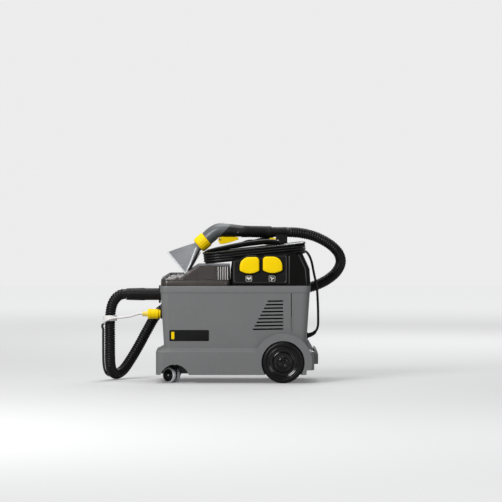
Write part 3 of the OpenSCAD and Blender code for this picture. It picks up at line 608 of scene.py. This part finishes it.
FINISHES = (
    # finish, width of the rounded edges, CAD nodes shown as they are
    ("grey", 0.0026, ("base_housing",)),
    ("grey", 0.0025, ("rear_bumper",)),
    ("gloss", 0.002, ("upper_housing",)),
    ("matt", 0.0012, ("suction_port", "floor_pan", "motor_housing", "tool_rest", "hose_cuff", "spray_socket",
                      "tool_cuff", "switch_blocks", "float_cage", "pump_body", "suction_elbow", "cord_deck",
                      "hose_clips", "control_panel")),
    ("yellow", 0.0012, ("tool_latch", "coupling_sleeve", "spray_tip")),
    ("smoke", 0.0015, ("recovery_tank",)),
    ("white", 0.001, ("fresh_water_tank", "float_ball", "hose_strap")),
    ("rubber", 0.0006, ("lid_seal", "pump_hoses")),
    ("steel", 0.0003, ("housing_screws", "rear_axle", "axle_clips", "trigger_pin", "valve_stem", "motor_can",
                       "turbine_rotor", "pump_plunger", "valve_body")),
    ("yellow_pale", 0.001, ("spray_coupling",)),
    ("smoke", 0.0025, ("tank_lid",)),
)


def dress_cad(mats):
    """Gives the CAD nodes that are shown as they are their finish and rounded edges."""
    for finish, width, names in FINISHES:
        for name in names:
            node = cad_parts[name]
            node.data.materials.clear()
            node.data.materials.append(getattr(mats, finish))
            weld = node.modifiers.new("weld", "WELD")
            weld.merge_threshold = 0.00002
            bevelled(node, width, 32)
            node.modifiers.new("normals", "WEIGHTED_NORMAL")


def wall_hy(z):
    """Half width of the tub's upright wall at a height in mm."""
    return 137.5 + 7.5 * (z - 100) / 214


def tub_loop(z, grow, radius):
    """The tub's outline at a height, grown outward."""
    shift = (z - 100) / 214
    x0, x1, hy = -236 - 13 * shift - grow, 223 + 14 * shift + grow, wall_hy(z) + grow
    return [(x, y, z) for x, y in rounded_loop(x0, x1, -hy, hy, radius, 10)]


def wall_panel(name, x0, x1, z0, z1, radius, proud, cut, mat):
    """A rounded plate on the near wall, standing proud of it."""
    loops = []
    for depth, inset in ((-cut, 0), (proud - 0.4, 0), (proud, 0.4)):
        outline = rounded_loop(x0 + inset, x1 - inset, z0 + inset, z1 - inset, radius, 6)
        loops.append([(x, -(wall_hy(z) + depth), z) for x, z in outline])
    shell(name, loops, mat)


def rating_plate(mats):
    """A blank dark plate where the maker's lettering would be, with a plain yellow corner."""
    wall_panel("blank_plate", -219, -91, 136, 172, 4, 0.9, 0.4, mats.matt)
    wall_panel("blank_plate_accent", -213, -203, 142, 166, 2, 1.3, 0.2, mats.yellow)


def rim_band(mats):
    """The thicker rim round the top of the tub, open above."""
    outer = [tub_loop(z, proud, 24 + proud)
             for z, proud in ((291.5, 0.2), (293, 1.4), (311, 1.6), (313.6, 0.8))]
    inner = [tub_loop(z, -1.2, 22) for z in (313.6, 291.5)]
    shell("rim_band", outer + inner, mats.grey, close=True, slot="grey_shell", smooth=30)


def column_edges(mats):
    """Raised edge of the rear column beside its groove, on both walls."""
    for side, tag in WALLS:
        loops = []
        for z, wide, out in ((166, 1.2, 0.1), (170, 3.4, 1.3), (286, 3.4, 1.3), (290, 1.2, 0.1)):
            section = ((0, -1), (0, out), (wide * 0.6, out), (wide * 2, -0.2), (wide * 2, -1))
            loops.append([(177.2 + x, side * (wall_hy(z) + y), z) for x, y in section])
        shell(f"column_edge_{tag}", loops, mats.grey, smooth=50)


# ---------- control panel and buttons ----------

BUTTONS = (("pump_button", 40, 381.5, False), ("suction_button", 115, 383, True))
PANEL_Y = -142
MARK_Z = 338.5


def d_outline(flip, inset):
    """Outline of a push button: one big rounded upper corner, a straight inner side and a bowed foot."""
    hw, hh, bow, steps = 31.5, 26.5, 7.2, 10
    foot = 248
    corners = [(-hw + 31, hh - 31, 31, 90, 180), (-hw + 5, -hh + bow + 5, 5, 180, foot),
               (hw - 4.5, -hh + bow + 4.5, 4.5, 292, 360), (hw - 12, hh - 12, 12, 0, 90)]
    points = []
    for cx, cy, r, a0, a1 in corners:
        for i in range(steps + 1):
            a = math.radians(a0 + (a1 - a0) * i / steps)
            points.append((cx + (r - inset) * math.cos(a), cy + (r - inset) * math.sin(a)))
        if a1 == foot:
            x0, x1 = -hw + 5 - 1.9, hw - 4.5 + 1.7
            for t in (k / 12 for k in range(1, 12)):
                points.append((x0 + (x1 - x0) * t, -hh + (bow + 0.4) * (2 * t - 1) ** 2 + inset))
    return [(-x, y) for x, y in reversed(points)] if flip else points


def button_loops(x, z, flip, levels):
    """The button's outline at each (y, inset, scale)."""
    return [[(x + px * scale, y, z + pz * scale) for px, pz in d_outline(flip, inset)]
            for y, inset, scale in levels]


def push_button(mats, name, x, z, flip):
    """A softly domed button on its stem, and the raised collar round its opening."""
    dome = [(-139.8, 0, 1), (-149.2, 0, 1), (-150.6, 0.5, 1), (-151.6, 1.6, 1), (-152.1, 3.2, 1),
            (-152.6, 3.2, 0.75), (-152.9, 3.2, 0.5), (-153.05, 3.2, 0.25), (-153.1, 3.2, 0.06)]
    shell(f"{name}_cap", button_loops(x, z, flip, dome), mats.yellow, name, slot="yellow",
          stands_for=(name,), smooth=50)
    lathe(f"{name}_stem", [(0.01, 0), (6, 0), (6, 8), (0.01, 8)], 32, mats.matt, name,
          place=along_y(x, -132.5, z))
    collar = [(-141.8, -1.4, 1), (-143.3, -1.4, 1), (-143.8, -1.9, 1), (-143.8, -3.6, 1), (-142, -5.2, 1),
              (-141.8, -5.2, 1)]
    shell(f"{name}_collar", button_loops(x, z, flip, collar), mats.matt, close=True, smooth=50)


def panel_outline(grow, y):
    """Outline round the two buttons, its four corners rounded and then grown outward."""
    corners = [Vector(c) for c in ((-10, 326), (159, 326), (159, 412), (-10, 394))]
    middle = Vector((74.5, 364))
    points = []
    for i, corner in enumerate(corners):
        before = (corners[i - 1] - corner).normalized()
        after = (corners[(i + 1) % 4] - corner).normalized()
        for t in (k / 6 for k in range(7)):
            q = corner + before * 9 * (1 - t) ** 2 + after * 9 * t ** 2
            q += (q - middle).normalized() * grow
            points.append((q.x, y, q.y))
    return points


def panel_frame(mats):
    """Rounded frame moulded round the two buttons, in a paler black that is a painted highlight along its
    glossy edge.
    """
    levels = ((1.6, -141.6), (1.6, -143.4), (1, -144), (-0.6, -144), (-1.6, -143.2), (-1.6, -141.6))
    shell("panel_frame", [panel_outline(grow, y) for grow, y in levels], mats.edge, close=True,
          smooth=40)


def column_seam_painted_highlight(mats):
    """Seam between the control face and the rear column of the upper housing, in a paler black that is a
    painted highlight along the glossy edge.
    """
    loops = []
    for z, deep in ((321, 0.1), (324, 0.9), (409, 0.9), (412, 0.1)):
        section = ((167, -138.6), (167, -139 - deep), (169.2, -139 - deep), (170.4, -138.6))
        loops.append([(x, y, z) for x, y in section])
    shell("column_seam_painted_highlight", loops, mats.edge, smooth=50)


def icon_frames(mats):
    """A thin rounded square round each mark."""
    for x, tag in ((38, "spray"), (113, "suction")):
        loops = []
        for rise, inset in ((0, 0), (0.6, 0), (0.6, 0.9), (0, 0.9)):
            outline = rounded_loop(x - 10 + inset, x + 10 - inset, 329.5 + inset, 347.5 - inset, 3 - inset, 6)
            loops.append([(px, PANEL_Y - rise, pz) for px, pz in outline])
        shell(f"{tag}_mark_frame", loops, mats.mark, close=True)


def raised(outline, x, z):
    """A mark's outline standing out of the panel."""
    return skin(metres([[(x + px, PANEL_Y - rise, z + pz) for px, pz in outline] for rise in (0, 0.75)]))


def icon_drops(mats):
    """Generic mark under the spray button: three drops."""
    drops = []
    for dx, dz, size in ((-5.2, 0.8, 3.1), (0, -1.4, 3.6), (5.2, 0.8, 3.1)):
        outline = []
        for a in turns(24):
            r = size * (1 + 0.75 * max(0, math.sin(a)) ** 6)
            outline.append((r * 0.72 * math.cos(a), r * math.sin(a)))
        drops.append(raised(outline, 38 + dx, MARK_Z + dz))
    add_piece("spray_mark", *merged(drops), mats.mark)


def icon_fan(mats):
    """Generic mark under the suction button: a three-bladed fan."""
    blades = []
    for turn in turns(3):
        c, s = math.cos(turn), math.sin(turn)
        oval = [(3.6 + 3.5 * math.cos(a), 1.2 + 1.9 * math.sin(a)) for a in turns(20)]
        blades.append(raised([(px * c - pz * s, px * s + pz * c) for px, pz in oval], 113, MARK_Z))
    add_piece("suction_mark", *merged(blades), mats.mark)


# ---------- wheels ----------

def rear_wheel(mats, side, tag):
    """Tyre, ribbed dish and hub of a rear wheel, their heights in mm from its outer side."""
    place, body = at(148.5, 0, 67) @ about("X", 90 * side) @ at(0, 0, 165), f"rear_wheel_{tag}"
    tyre = [(49, -37), (61, -38), (64.6, -37.2), (66.6, -34.8), (67, -32), (67, -23), (66.2, -22),
            (66.2, -20), (67, -19), (67, -9), (66.4, -5.5), (64.4, -3), (61.5, -1.6), (57.5, -1),
            (54.6, -1.6), (53.4, -3.2), (52, -3.6), (50.5, -2.2), (49, -2)]
    lathe(f"rear_tyre_{tag}", tyre, 128, mats.rubber, body, slot="rubber", stands_for=(body,),
          smooth=40, place=place)
    rim = [(5.15, -36), (20, -36), (24, -37.2), (49.2, -36.6), (49.2, -2.4), (47.6, -1.4), (45.6, -2.4),
           (44.4, -9), (41, -11), (35.6, -11), (33.6, -9.6), (32.4, -4.4), (30.8, -2.8), (28.4, -2.6),
           (25, -4.6), (20, -4.8), (18.2, -3.2), (17.2, -2.4), (16.3, -3), (16.2, -8), (5.15, -8)]
    lathe(f"rear_rim_{tag}", rim, 128, mats.rim, body, slot="black_matt", smooth=40, place=place)
    cap = [(0.01, -4.5), (15.9, -4.5), (15.9, -2.6), (14.8, -1.6), (11.2, -1.2), (9.6, -2.2), (8.6, -0.6),
           (0.01, -0.2)]
    lathe(f"hub_cap_{tag}_turned", cap, 64, mats.rim, body, slot="black_matt",
          stands_for=(f"hub_cap_{tag}",), smooth=40, place=place)
    square = stacked(((-1, 0), (-0.1, 0), (-0.02, 0.6)), -4.6, 4.6, -4.6, 4.6, 1.4, 4)
    shell(f"hub_square_{tag}", square, mats.matt, body, place=place)


def caster(mats, side, tag):
    """Twin wheels with a pale tread and dark discs, and the swivelling body that carries them."""
    place = at(-202, -side * 116, 0) @ about("Z", -side * 40) @ at(-14, 0, 24.5)
    wheels = f"caster_{tag}_wheels"
    tread = [(20.4, 5), (23.4, 4.6), (24.4, 5.8), (24.5, 8), (24.5, 13.5), (24.1, 15.8), (22.9, 17.4),
             (20.9, 17.9), (20.4, 17.2)]
    disc = [(3.2, 4.6), (20.5, 4.9), (20.5, 17.2), (19.2, 17.6), (18.2, 16.4), (16.5, 15.9), (9, 16.2),
            (7.6, 17.3), (3.2, 17.4)]
    for way, letter in ((1, "a"), (-1, "b")):
        turned_out = place @ about("X", way * 90)
        extra = {"stands_for": (f"caster_wheels_{tag}",), "slot": "tread_grey"} if way == 1 else {}
        lathe(f"caster_tread_{tag}_{letter}", tread, 72, mats.tread, wheels, smooth=45,
              place=turned_out, **extra)
        lathe(f"caster_disc_{tag}_{letter}", disc, 72, mats.matt, wheels, smooth=40,
              place=turned_out)
    caster_body(mats, place, side, tag)


def caster_body(mats, place, side, tag):
    """A round web between the wheels, a collar over it, the axle and the stem."""
    body = f"caster_{tag}"
    web = [[(x, y, z) for x, z in circle(r, 64)]
           for y, r in ((-4, 19.4), (-3.6, 19.9), (3.6, 19.9), (4, 19.4))]
    shell(f"caster_web_{tag}", web, mats.matt, body, slot="black_matt",
          stands_for=(f"caster_fork_{tag}",), place=place)
    levels = ((4, 7, 21.4, 3.9, 3), (16, 7.2, 21.2, 4, 3.2), (25, 6.2, 22.2, 6, 5),
              (26.9, 3.4, 24.6, 10.4, 10), (31.4, 3.2, 24.8, 10.7, 10.4), (31.9, 3.8, 24.2, 10.1, 10))
    neck = [[(x, y, z) for x, y in rounded_loop(x0, x1, -hy, hy, r, 8)] for z, x0, x1, hy, r in levels]
    shell(f"caster_neck_{tag}", neck, mats.matt, body, place=place)
    lathe(f"caster_axle_{tag}", [(0.01, -16.4), (2.9, -16.4), (2.9, 16.4), (0.01, 16.4)], 24, mats.steel,
          body, place=place @ about("X", 90))
    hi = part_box("caster_fork_near" if side > 0 else "caster_fork_far")[1]
    top = hi.z / MM - 24.5 - 0.8
    stem = [(0.01, 31), (3.9, 31), (3.9, top), (3.2, top + 0.8), (0.01, top + 0.8)]
    lathe(f"caster_stem_{tag}", stem, 32, mats.steel, body, place=place @ at(14, 0, 0))


# ---------- tanks ----------

def lid_ribs(mats):
    """Upright ribs on the clear wall at the back of the lid, near side and far side, in a pale clear finish
    that is a painted highlight of bright streaks along the ribs.
    """
    for side, tag in WALLS:
        ribs = []
        for x in (-61, -53.5, -46, -38.5, -31):
            loops = []
            for z, grow in ((334.5, 0.6), (336, 1.6), (374, 1.6), (377, 0.6)):
                y = 139 - (z - 335.4) * 11 / 44.6
                section = ((-1.6, -1), (-1.2, grow), (1.2, grow), (1.6, -1))
                loops.append([(x + dx, side * (y + dy), z) for dx, dy in section])
            ribs.append(skin(metres(loops)))
        add_piece(f"lid_ribs_{tag}", *merged(ribs), mats.rib_painted_highlight, slot="smoke_clear", smooth=50)


def lid_catch(mats):
    """Catch pad on the low front of the lid."""
    loops = stacked(((349.2, 0), (351.6, 0), (352.6, 1.2), (352.8, 3)), -218, -196, -112, -62, 6, 5)
    shell("lid_pad", loops, mats.matt, slot="black_matt")


def dark_band(mats):
    """The tank's brownish rim under the lid, between the two corner radii on both sides."""
    outer = []
    for z, grow in ((316.2, 0), (317, 0.7), (330.6, 0.7), (331.6, 0)):
        outline = rounded_loop(-246 - grow, -22 + grow * 0.2, -142 - grow, 142 + grow, 22, 10)
        outer.append([(x, y, z) for x, y in outline])
    inner = stacked(((331.6, 0), (316.2, 0)), -245, -23, -141, 141, 21, 10)
    shell("tank_rim_band", outer + inner, mats.band, close=True, slot="smoke_clear", smooth=40)


# ---------- deck and handle ----------

def carry_handle(mats):
    """The carry bar: a rounded section that bows over the finger well."""
    top = [(-162, 35), (-150, 38.6), (-140, 41.3), (-120, 44.4), (-100, 46.6), (-75, 49.3), (-50, 51.5),
           (-25, 53.2), (0, 54), (20, 54.2), (40, 53.8), (55, 52.3), (66, 50.3), (76, 46.8), (84, 43.2),
           (90, 37.5)]
    under = [(-162, 31.3), (-86, 31.3), (-80, 32.4), (-74, 33.5), (-40, 35.5), (0, 36.5), (40, 36.5),
             (52, 35.8), (60, 34), (66, 31.3), (90, 31.3)]
    stations = [-162, -161, -158, -152, -146, -140, -130, -120, -110, -100, -90, -82, -74, -64, -52, -38, -22,
                -6, 10, 24, 38, 48, 56, 62, 66, 72, 78, 84, 88, 89.6, 90]
    loops = []
    for u in stations:
        hi, lo = between(top, u), between(under, u)
        half, edge = 14.8, min(u + 162, 90 - u)
        if edge < 6:
            half -= 3 * (1 - edge / 6) ** 2
        loops.append([(u, y, v) for y, v in rounded_loop(-half, half, lo, hi, min(7, (hi - lo) * 0.45), 6)])
    shell("carry_handle_bar", loops, mats.gloss, slot="black_gloss", stands_for=("carry_handle",),
          smooth=40, place=DECK)


def handle_grooves(mats):
    """Soft ribbed pad along the top of the carry bar."""
    crown = [(-50, 51.5), (-25, 53.2), (0, 54), (20, 54.2), (45, 53.5)]
    ribs = []
    for u in (-44 + k * 6.4 for k in range(14)):
        loops = []
        for du, dv in ((-1.9, 0.05), (-1.2, 0.75), (1.2, 0.75), (1.9, 0.05)):
            v = between(crown, u + du) + dv
            loops.append([(u + du, y, vv) for y, vv in ((-9, v - 0.8), (9, v - 0.8), (9, v), (-9, v))])
        ribs.append(skin(metres(loops)))
    add_piece("handle_pad_ribs", *merged(ribs), mats.matt, slot="black_matt", place=DECK)


def deck_reflection_plates(mats):
    """Pale inset plates on the rear of the deck's top, either side of the tool's rest, which are a painted
    reflection of the bright surroundings on the glossy black deck top.
    """
    for y0, y1, r, tag in ((-121, 20, 26, "near"), (78, 112, 10, "far")):
        loops = stacked(((30.8, 0), (31.9, 0), (32.3, 0.5)), 98, 160, y0, y1, r, 8)
        shell(f"deck_reflection_plate_{tag}", loops, mats.pale, place=DECK)


# ---------- hand tool ----------

TOOL_Y = 52
NUT = at(-114, 52, 451) @ Matrix.Rotation(math.atan2(-0.76, -0.65), 4, "Y")
HEAD = NUT @ about("Z", 180 + 33)


def tool_line(points):
    """A smooth line in the tool's plane through (x, z) points, with a frame for each point."""
    path = smooth_path([(x * MM, TOOL_Y * MM, z * MM) for x, z in points], 8)
    return list(zip(path, frames(path, (0, 1, 0))))


def neck_loops(points, radii, squeeze, ridge):
    """Oval loops of the neck, slightly ridged at four places."""
    line = tool_line(points)
    loops = []
    for i, (p, (_, u, v)) in enumerate(line):
        place = i / (len(line) - 1) * (len(radii) - 1)
        k = min(int(place), len(radii) - 2)
        r = (radii[k] + (radii[k + 1] - radii[k]) * (place - k)) * MM
        loop = []
        for a in turns(48):
            bump = 1 - ridge * abs(math.sin(2 * a)) ** 3
            loop.append(p + r * bump * (squeeze * math.cos(a) * u + math.sin(a) * v))
        loops.append(loop)
    return loops


def tool_neck(mats):
    """Moulded neck with its trigger slot."""
    points = [(21, 487), (0, 488), (-30, 490), (-58, 490), (-76, 482.5), (-99.9, 463.1)]
    neck = loose(*skin(neck_loops(points, [19.6, 21.2, 23.3, 23.3, 23.3, 23.4], 0.985, 0.035)))
    carved(neck, loose(*block((-64, TOOL_Y - 9, 438), (14, TOOL_Y + 9, 479.5))))
    bevelled(neck, 0.0012, 50)
    baked(neck)
    finish_piece("tool_neck_moulded", taken(neck), mats.neck, slot="anthracite", stands_for=("tool_neck",))


def tool_grip(mats):
    """The black grip: plain shoulder, shallow finger ribs, then the collar for the hose's cuff."""
    r0 = 19.45
    stations = [(20.2, r0 - 1.2), (21, r0), (30, r0)]
    x = 33
    while x < 96:
        stations += [(x, r0), (x + 1, r0 - 1.1), (x + 2.2, r0 - 1.1), (x + 3.2, r0)]
        x += 6.4
    stations += [(100, r0), (104, r0), (104.6, r0 + 0.1), (110.6, r0 + 0.1), (112, r0 - 1),
                 (112.8, r0 - 1.2)]
    fall = 0.0217  # of the grip's centre line towards the cuff
    loops = [[(x, TOOL_Y + y, 487 - (x - 20) * fall + z) for y, z in circle(r, 64)] for x, r in stations]
    shell("tool_grip_sleeve", loops, mats.matt, slot="black_matt", stands_for=("tool_grip",))


def neck_details(mats):
    """Parting line over the neck and its two screws."""
    line = tool_line([(18, 487), (0, 488), (-30, 490), (-58, 490), (-76, 482.5), (-92, 470.5)])
    crest = [(0, 19.6), (0.25, 21.6), (0.45, 23.6), (1, 23.4)]
    loops = []
    for i, (p, (_, u, v)) in enumerate(line):
        out = v if v.z > 0 else -v
        c = p + out * (between(crest, i / (len(line) - 1)) * MM - 0.0003)
        loops.append([c - u * 0.0006, c + u * 0.0006, c + u * 0.0004 + out * 0.0004,
                      c - u * 0.0004 + out * 0.0004])
    add_piece("neck_parting_line", *skin(loops), mats.dark)
    head = [(0.01, 0), (3, 0), (3, 0.7), (2.4, 1.4), (1.05, 1.4), (0.01, 0.56)]
    for k, (x, y, z) in enumerate(((-84, -20.6, 475), (2, -19.2, 486))):
        lathe(f"neck_screw_{k}", head, 24, mats.steel, place=along_y(x, TOOL_Y + y, z))


def trigger_lever(mats):
    """The yellow trigger: a thin plate section with rounded edges, notched at its front end."""
    outline = [(-63, 458), (-61, 466), (-57, 468.6), (-48, 469.4), (-20, 469.4), (0, 468.4), (3.4, 466),
               (4.2, 462.5), (3.6, 460), (-10, 455), (-30, 449), (-50, 445), (-57, 446), (-60.4, 448.4),
               (-58.6, 451.6), (-62.6, 454.6)]
    middle_x, middle_z = -36, 456.5
    loops = []
    for y, inset in ((-8.5, 1), (-8.1, 0.3), (-7.5, 0), (7.5, 0), (8.1, 0.3), (8.5, 1)):
        edge = []
        for x, z in outline:
            dx, dz = x - middle_x, z - middle_z
            far = math.hypot(dx, dz)
            edge.append((x - dx * inset / far, TOOL_Y + y, z - dz * inset / far))
        loops.append(edge)
    lever = loose(*skin(metres(loops)))
    pin = turned([(0.01, -20), (2.9, -20), (2.9, 20), (0.01, 20)], 40)
    carved(lever, loose(*pin, place=along_y(-58, TOOL_Y, 462)))
    finish_piece("trigger_lever", taken(lever), mats.yellow, "trigger", slot="yellow",
                 stands_for=("trigger",), smooth=28)


def union_nut(mats):
    """The yellow ribbed nut that clamps the nozzle to the neck."""
    sides, ribs = 216, 18
    outline = [(18.2, -17.6), (20, -18), (24.2, -18), (25.6, -16.6), (26.3, -14), (26.3, 9),
               (25.4, 13), (23.6, 16.8), (22, 18), (20, 18), (18.2, 17.6)]
    loops = []
    for a in turns(sides):
        wave = 0.5 + 0.5 * math.cos(a * ribs)
        dip = 1.15 * (1 - min(1, wave * 2.2)) if wave < 0.46 else 0
        section = [(r - dip if r > 24.8 and -15 < h < 12 else r, h) for r, h in outline]
        loops.append([(r * math.cos(a), r * math.sin(a), h) for r, h in section])
    shell("union_nut_ribbed", loops, mats.yellow, "union_nut", close=True, slot="yellow",
          stands_for=("union_nut",), smooth=40, place=NUT)


def head_loop(z, half_w, half_t, power):
    """One superellipse section of the nozzle head; power 2 is round, more is squarer."""
    points = []
    for c, s in circle(1, 96):
        x = math.copysign(abs(c) ** (2 / power), c) * half_w
        y = math.copysign(abs(s) ** (2 / power), s) * half_t
        points.append((x, y, z))
    return points


def nozzle(mats):
    """Clear fan-shaped suction head, hollow, with its mouth lip and an upright rib at each edge; the lip and
    the ribs are real parts in a pale clear finish that is a painted highlight along the clear edges.
    """
    sections = [(-10, 17.5, 17.5, 2), (18, 17.5, 17.5, 2), (20, 16.4, 16, 2), (22, 15.8, 15, 2.2),
                (30, 19.4, 13.8, 2.9), (42, 25.2, 12.4, 4), (60, 33.8, 10.6, 6), (82, 44.4, 8.6, 8),
                (104.8, 55, 7, 10)]
    outer = [head_loop(*section) for section in sections]
    inner = [head_loop(z, w - 2.3, t - 2.3, p) for z, w, t, p in reversed(sections)]
    shell("nozzle_head_clear", outer + inner, mats.nozzle, close=True, slot="nozzle_clear",
          stands_for=("nozzle_head",), place=HEAD)
    lip = [(105.2, 55.8, 8.2), (106, 56, 8.5), (109.4, 56, 8.5), (110.2, 55.4, 7.9), (110.2, 52.4, 4.2),
           (105.2, 52.4, 4.2)]
    shell("nozzle_lip_ring", [head_loop(z, w, t, 12) for z, w, t in lip], mats.pale_clear, close=True,
          slot="nozzle_clear", stands_for=("nozzle_lip",), place=HEAD)
    thickness = [(z, t) for z, _, t, _ in sections[3:]]
    for k, x in enumerate((-1, 1)):
        loops = []
        for z, half, thick in ((26, 17, 1.2), (30, 19.2, 1.5), (100, 52.4, 1.5), (103, 53.6, 1.2)):
            section = ((-thick, 0.4), (-thick * 0.6, -0.7), (thick * 0.6, -0.7), (thick, 0.4))
            loops.append([(x * (half - 1.8) + dx, dy - between(thickness, z), z) for dx, dy in section])
        shell(f"nozzle_edge_rib_{k}", loops, mats.pale_clear, slot="nozzle_clear", place=HEAD)


def spray_pipe(mats):
    """The thin pipe along the back of the head that feeds its spray tip."""
    path = smooth_path(scaled(((0, -15.5, 24), (0, -17.5, 34), (0, -19.6, 50), (0, -19.5, 64))), 5)
    add_piece("spray_feed_pipe", *tube(path, 0.0028, 16), mats.matt, place=HEAD)


# ---------- ends of the hose and cords ----------

def strain_relief(mats, cord_path):
    """Tapered, ringed boot where the mains cord leaves the housing, and the collar it stands in."""
    path = [cord_path[0] + Vector((-0.0025, 0, -0.0008))] + cord_path[1:6]
    path = evenly(smooth_path(path, 4), 0.0006)
    count = len(path)

    def radius(i):
        base = 0.0086 - 0.0032 * i / (count - 1)
        return base - 0.0009 if (i % 7) in (5, 6) and 4 < i < count - 4 else base

    add_piece("strain_relief_boot", *tube(path, radius, 32, side=(0, 1, 0)), mats.rubber, slot="rubber",
              stands_for=("mains_gland",))
    loops = [[(x, -40 + y, 150 + z) for y, z in circle(r, 48)]
             for x, r in ((226.6, 10.6), (229.4, 10.6), (230.4, 9.6))]
    shell("gland_collar", loops, mats.matt, smooth=40)


def mains_plug(mats):
    """Moulded two-pin plug that lies on the deck."""
    place = DECK @ at(6, 102, 49.3) @ about("Y", 90)
    profile = [(0.01, 0), (5.4, 0)]
    for k in range(5):
        h, r = 1.5 + k * 4.6, 5.6 + k * 0.85
        profile += [(r, h), (r + 0.2, h + 3), (r - 0.9, h + 3.4), (r - 0.7, h + 4.2)]
    profile += [(10.4, 25.5), (13, 27), (16.6, 32), (17.8, 40), (17.9, 54), (17.2, 58.6), (16, 60),
                (0.01, 60)]
    body = lathe("mains_plug_body", profile, 64, mats.matt, slot="cord_black", stands_for=("mains_plug",),
                 place=place)
    pin = [(0.01, 58), (2.35, 58), (2.35, 77.4), (1.6, 78.8), (0.01, 79)]
    pieces = [body]
    for k, y in enumerate((-9.5, 9.5)):
        pieces.append(lathe(f"mains_plug_pin_{k}", pin, 24, mats.steel, slot="steel",
                            place=place @ at(0, y, 0)))
    return pieces


def cuff_rings(mats):
    """Rings on the rubber cuff at the tool, and grip rings on the swivelling cuff at the machine."""
    for k in range(5):
        lathe(f"tool_cuff_ring_{k}", [(16.2, 0), (17.3, 0.8), (17.3, 2.6), (16.2, 3.4)], 64, mats.rubber,
              place=at(118 + k * 9, TOOL_Y, 485) @ about("Y", 90))
    for k in range(6):
        x = -352 + k * 8
        r = 19 + 1.5 * (x + 362) / 60
        lathe(f"hose_cuff_ring_{k}", [(r - 0.6, 0), (r + 0.7, 0.8), (r + 0.7, 2.8), (r - 0.6, 3.6)], 64,
              mats.matt, "hose_cuff", place=at(x, 0, 283) @ about("Y", 90))


def sleeve_knurl(mats):
    """Knurled ring on the yellow release sleeve."""
    loops = []
    for x, r in ((-290, 15.8), (-289, 16.6), (-282, 16.6), (-281, 15.8)):
        radii = [r - (0.5 if k % 4 > 1 and r > 16 else 0) for k in range(96)]
        loops.append([(x, -32 + r * math.cos(a), 220 + r * math.sin(a)) for r, a in zip(radii, turns(96))])
    shell("sleeve_knurl", loops, mats.yellow, "coupling_sleeve", slot="yellow", smooth=25)


# ---------- the whole ----------

def main():
    mats = make_materials()
    set_stage()
    plug = mains_plug(mats)
    suction_hose(mats)
    spray_line()
    strain_relief(mats, power_cord(mats))
    for build in (dress_cad, rating_plate, rim_band, column_edges):
        build(mats)
    for name, x, z, flip in BUTTONS:
        push_button(mats, name, x, z, flip)
    for build in (panel_frame, icon_drops, icon_fan, icon_frames, column_seam_painted_highlight):
        build(mats)
    for build in (rear_wheel, caster):
        build(mats, 1, "near")
        build(mats, -1, "far")
    for build in (lid_ribs, lid_catch, dark_band, carry_handle, handle_grooves, deck_reflection_plates, tool_neck,
                  tool_grip, neck_details, trigger_lever, union_nut, nozzle, spray_pipe, cuff_rings,
                  sleeve_knurl):
        build(mats)


main()
